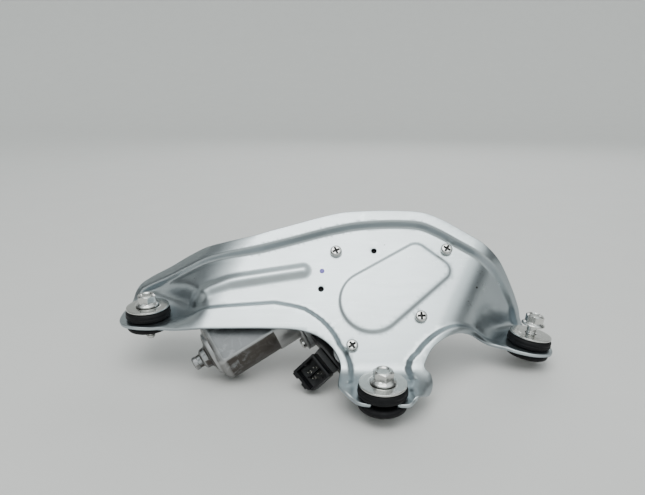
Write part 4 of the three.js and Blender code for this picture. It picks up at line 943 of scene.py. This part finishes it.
def motor_flange():
    """Ears round the can's mouth that take the two long screws."""
    outline = belt([(0, 0, 20.4), (0, 23.8, 5), (0, -23.8, 5)], 72)
    outline = np.clip(resampled(outline, 1.0), (-17.2, -40), (15.2, 40))
    rings = [(-43.5, 0.35), (-43.35, 0.12), (-43.1, 0), (-42.4, 0), (-42.15, 0.12), (-42.0, 0.35)]
    points = [(x, y, z) for x, inset in rings for z, y in moved_in(outline, inset)]
    count = len(outline)
    faces = grid_faces(len(rings), count)
    faces += [tuple(range(count)), tuple(range(len(points) - count, len(points)))]
    piece("motor_flange", points, faces, "can_steel", place=MOTOR, crease=45)


# ---- gear housing -----------------------------------------------------------------------------
def plate_rib(name, corners, thickness, place, look="cast_alloy"):
    """A cast rib: an outline in x and z with rounded edges, thin in y."""
    outline = resampled(np.array(rounded(corners, 1.2, closed=True)), 0.8)
    area = sum(a[0] * b[1] - b[0] * a[1] for a, b in zip(outline, np.roll(outline, -1, axis=0)))
    if area < 0:
        outline = outline[::-1]
    half = thickness / 2
    layers = [(-half, 0.3), (-half + 0.3, 0), (half - 0.3, 0), (half, 0.3)]
    points = [(x, y, z) for y, inset in layers for x, z in moved_in(outline, inset)]
    count = len(outline)
    faces = grid_faces(len(layers), count) + [tuple(range(count)), tuple(range(3 * count, 4 * count))]
    piece(name, points, faces, look, place=place, crease=50)


def gear_housing():
    softened("gear_housing", "cast_alloy", 0.5)
    for i in range(8):
        place = SPINDLE @ Matrix.Rotation(TURN * (i + 0.5) / 8, 4, "Z")
        plate_rib(f"neck_rib_{i + 1}", [(7.6, -28), (14.6, -28), (14.2, -30.5), (8.6, -46), (7.6, -46)], 1.6, place)
    wheel = PLATE @ Matrix.Translation((*WHEEL_AT, 0))
    for i in range(6):
        place = wheel @ Matrix.Rotation(TURN * (i + 0.25) / 6, 4, "Z")
        plate_rib(f"floor_rib_{i + 1}", [(5.0, -28.7), (24.5, -28.7), (24.5, -30.0), (5.0, -30.8)], 1.5, place)
    points, faces = turned(rounded([(6.4, -28.6), (6.4, -31.6), (4.2, -31.6), (3.6, -30.6), (0.3, -30.6)], 0.5), 48)
    piece("axle_boss", points, faces, "cast_alloy", place=wheel, crease=50)


# ---- spindle ----------------------------------------------------------------------------------
def output_spindle():
    """8 mm spindle: splined taper and threaded end for the wiper arm."""
    tip = -99.1

    def radius(angle, z):
        if z > -79:
            ends = 3.5 if -68.8 < z < -67.8 else 4.0
            return 3.0 if z > -13.3 else ends
        if z > -85.4:
            spline = 0.16 * math.cos(angle * 36)
            return 3.1 + 0.9 * (z + 85.4) / 6.4 - 0.16 + spline
        if z > -87:
            return 2.75
        thread = 0.3 * abs(((z / 1.25 - angle / TURN) % 1) - 0.5) * 2
        return 3.28 + thread - max(0.0, tip + 1.0 - z) * 0.6

    heights = [*np.arange(tip, -87, 0.16), -87.0, -86.99, -85.41, -85.4, *np.linspace(-85.39, -79.01, 8), -79,
               -78.9, -74, -69, -68.81, -68.79, -67.81, -67.79, -60, -45, -30, -20, -13.31, -13.29, -10.6]
    points, faces = carved(radius, heights, 144)
    piece("output_spindle", points, faces, "plain_steel", "output", SPINDLE, ("output_shaft",), 40)


# ---- plug socket ------------------------------------------------------------------------------
def socket_parts():
    """Rounded shell with keys inside its mouth and contact blades with pointed tips."""
    softened("connector_housing", "connector_plastic", 0.45)
    blades = [nodes[f"terminal_{i + 1}"] for i in range(4)]
    spot = [sum((v.co for v in blade.data.vertices), Vector()) / len(blade.data.vertices) / MM for blade in blades]
    x_axis = (spot[2] - spot[0]).normalized()
    y_axis = (spot[0] - spot[1]).normalized()
    z_axis = x_axis.cross(y_axis)
    middle = sum(spot, Vector()) / 4 + 6.3 * z_axis
    socket = placed(middle, x_axis, y_axis, z_axis)
    keys = [("key_left", -6.4, -5.5, -0.7, 0.7), ("key_right", 5.5, 6.4, 1.6, 3.0), ("key_top", -1.2, 1.2, 5.4, 6.2)]
    for name, x0, x1, y0, y1 in keys:
        rounded_block(name, (x0, y0, -8.0), (x1, y1, -1.0), 0.2, "connector_plastic", socket)
    rounded_block("socket_divider", (-0.35, -4.4, -8.0), (0.35, 4.4, -3.6), 0.2, "connector_plastic", socket)
    for i, (x, y) in enumerate(((-2.1, 2.1), (-2.1, -2.1), (2.1, 2.1), (2.1, -2.1))):
        corners = [(-0.5, -9.1), (-0.5, -4.2), (-0.22, -3.42), (0.22, -3.42), (0.5, -4.2), (0.5, -9.1)]
        layers = [(-0.3, 0.12), (-0.18, 0.0), (0.18, 0.0), (0.3, 0.12)]
        points = []
        for depth, inset in layers:
            shrink = 1 - inset / 0.5
            points += [(x + px * shrink, y + depth, pz - (inset if pz > -5 else 0)) for px, pz in corners]
        faces = grid_faces(4, 6) + [tuple(range(6)), tuple(range(18, 24))]
        node = f"terminal_{i + 1}"
        piece(node + "_blade", points, faces, "terminal_tin", place=socket, stands_for=(node,), crease=30)


def rounded_block(name, low, high, edge, look, place):
    """A moulded block with every edge rounded."""
    block = bmesh.new()
    bmesh.ops.create_cube(block, size=1)
    for vert in block.verts:
        vert.co = Vector([low[k] if vert.co[k] < 0 else high[k] for k in range(3)])
    bmesh.ops.bevel(block, geom=block.edges[:], offset=edge, segments=3, profile=0.5, affect="EDGES")
    points = [v.co.copy() for v in block.verts]
    block.verts.index_update()
    faces = [[v.index for v in f.verts] for f in block.faces]
    block.free()
    piece(name, points, faces, look, place=place, crease=60)


# ---- everything inside ------------------------------------------------------------------------
def inner_pieces():
    """Each remaining CAD node gets rounded edges and the finish of its slot."""
    edges = {"worm_wheel": 0.15, "armature_shaft": 0.06, "motor_can": 0.3, "shaft_clip": 0.1, "commutator": 0.08}
    for name, node in sorted(nodes.items()):
        if node.hide_render:
            continue
        look = "laminated_steel" if name == "armature_core" else slot_of[name]
        made = softened(name, look, edges.get(name, 0.2))


# ---- camera, floor and light ------------------------------------------------------------------
def camera():
    """Eye level just over the bench, in front of the bracket."""
    seen = bpy.data.cameras.new("view")
    seen.sensor_width = 36
    seen.lens = 31.26
    seen.clip_start = 0.01
    eye = bpy.data.objects.new("view", seen)
    eye.location = Vector((FOOT.x, FOOT.y - 279.57, FOOT.z + 148.93)) * MM
    eye.rotation_euler = (math.radians(90 - 15.3), 0, 0)
    bpy.context.scene.collection.objects.link(eye)
    bpy.context.scene.camera = eye


def floor():
    """A pale bench that sweeps up into its own backdrop."""
    reach, start, radius, top = 9.0, 2.2, 2.5, 6.0
    profile = [(-9.0, 0.0), (start, 0.0)]
    profile += [(start + radius * math.sin(a), radius * (1 - math.cos(a))) for a in np.linspace(0.1, math.pi / 2, 16)]
    profile.append((start + radius, top))
    points = [(x, y, z) for y, z in profile for x in (-reach, reach)]
    mesh = bpy.data.meshes.new("floor")
    mesh.from_pydata(points, [], [(2 * i, 2 * i + 1, 2 * i + 3, 2 * i + 2) for i in range(len(profile) - 1)])
    mesh.polygons.foreach_set("use_smooth", [True] * len(mesh.polygons))
    look = Look("floor", (0.72, 0.71, 0.69), 0.0, 0.55)
    look.set("Base Color", look.mixed(look.noise(60, 3), (0.70, 0.69, 0.67), (0.74, 0.73, 0.71)))
    mesh.materials.append(look.material)
    made = bpy.data.objects.new("floor", mesh)
    bpy.context.scene.collection.objects.link(made)


def panel_light(name, place, target, width, height, power, colour=(1, 1, 1)):
    lamp = bpy.data.lights.new(name, "AREA")
    lamp.shape = "RECTANGLE"
    lamp.size, lamp.size_y, lamp.energy, lamp.color = width, height, power, colour
    made = bpy.data.objects.new(name, lamp)
    made.location = place
    made.rotation_euler = (Vector(target) - Vector(place)).to_track_quat("-Z", "Y").to_euler()
    bpy.context.scene.collection.objects.link(made)


def studio():
    """Dim surroundings with one broad bright patch overhead, where the main face is reflected."""
    world = bpy.data.worlds.new("studio")
    bpy.context.scene.world = world
    world.use_nodes = True
    tree = world.node_tree

    def node(kind, values, **settings):
        made = tree.nodes.new(kind)
        for key, value in settings.items():
            setattr(made, key, value)
        for key, value in values.items():
            if isinstance(value, bpy.types.NodeSocket):
                tree.links.new(value, made.inputs[key])
            else:
                made.inputs[key].default_value = value
        return made

    sky = tree.nodes.new("ShaderNodeTexCoord").outputs["Generated"]
    patch_at = Vector((0.1, -0.47, 0.873)).normalized()
    towards = node("ShaderNodeVectorMath", {0: sky, 1: patch_at}, operation="DOT_PRODUCT").outputs["Value"]
    patch = node("ShaderNodeMapRange", {"Value": towards, "From Min": 0.40, "From Max": 0.95},
                 interpolation_type="SMOOTHSTEP").outputs["Result"]
    height = node("ShaderNodeSeparateXYZ", {"Vector": sky}).outputs["Z"]
    rise = node("ShaderNodeMapRange", {"Value": height, "From Min": -0.1, "From Max": 0.9}).outputs["Result"]
    surround = node("ShaderNodeValToRGB", {"Fac": rise}).outputs["Color"]
    ramp = surround.node.color_ramp
    ramp.elements[0].color = (0.09, 0.093, 0.096, 1)
    ramp.elements[1].color = (0.27, 0.285, 0.29, 1)
    mixed = node("ShaderNodeMix", {"Factor": patch}, data_type="RGBA")
    tree.links.new(surround, mixed.inputs[6])
    mixed.inputs[7].default_value = (1.75, 1.88, 1.88, 1)
    tree.links.new(mixed.outputs[2], tree.nodes["Background"].inputs["Color"])
    tree.nodes["Background"].inputs["Strength"].default_value = 0.8
    panel_light("overhead", (-0.1, -0.5, 1.1), (0, 0, 0.04), 0.9, 0.7, 6, (1.0, 1.0, 0.99))
    panel_light("rear", (0.3, 1.3, 0.9), (0, 0, 0.05), 1.2, 0.5, 5, (0.96, 0.98, 1.0))


camera()
floor()
studio()
bracket_sheet()
paint_mark()
gauge_hole_shade()
for ear in PADS:
    ear_hardware(ear)
for number in range(len(SCREWS)):
    cover_screw(number)
motor_screw("motor_screw_upper", 1)
motor_screw("motor_screw_lower", -1)
motor_can()
motor_boss()
motor_flange()
gear_housing()
output_spindle()
socket_parts()
inner_pieces()
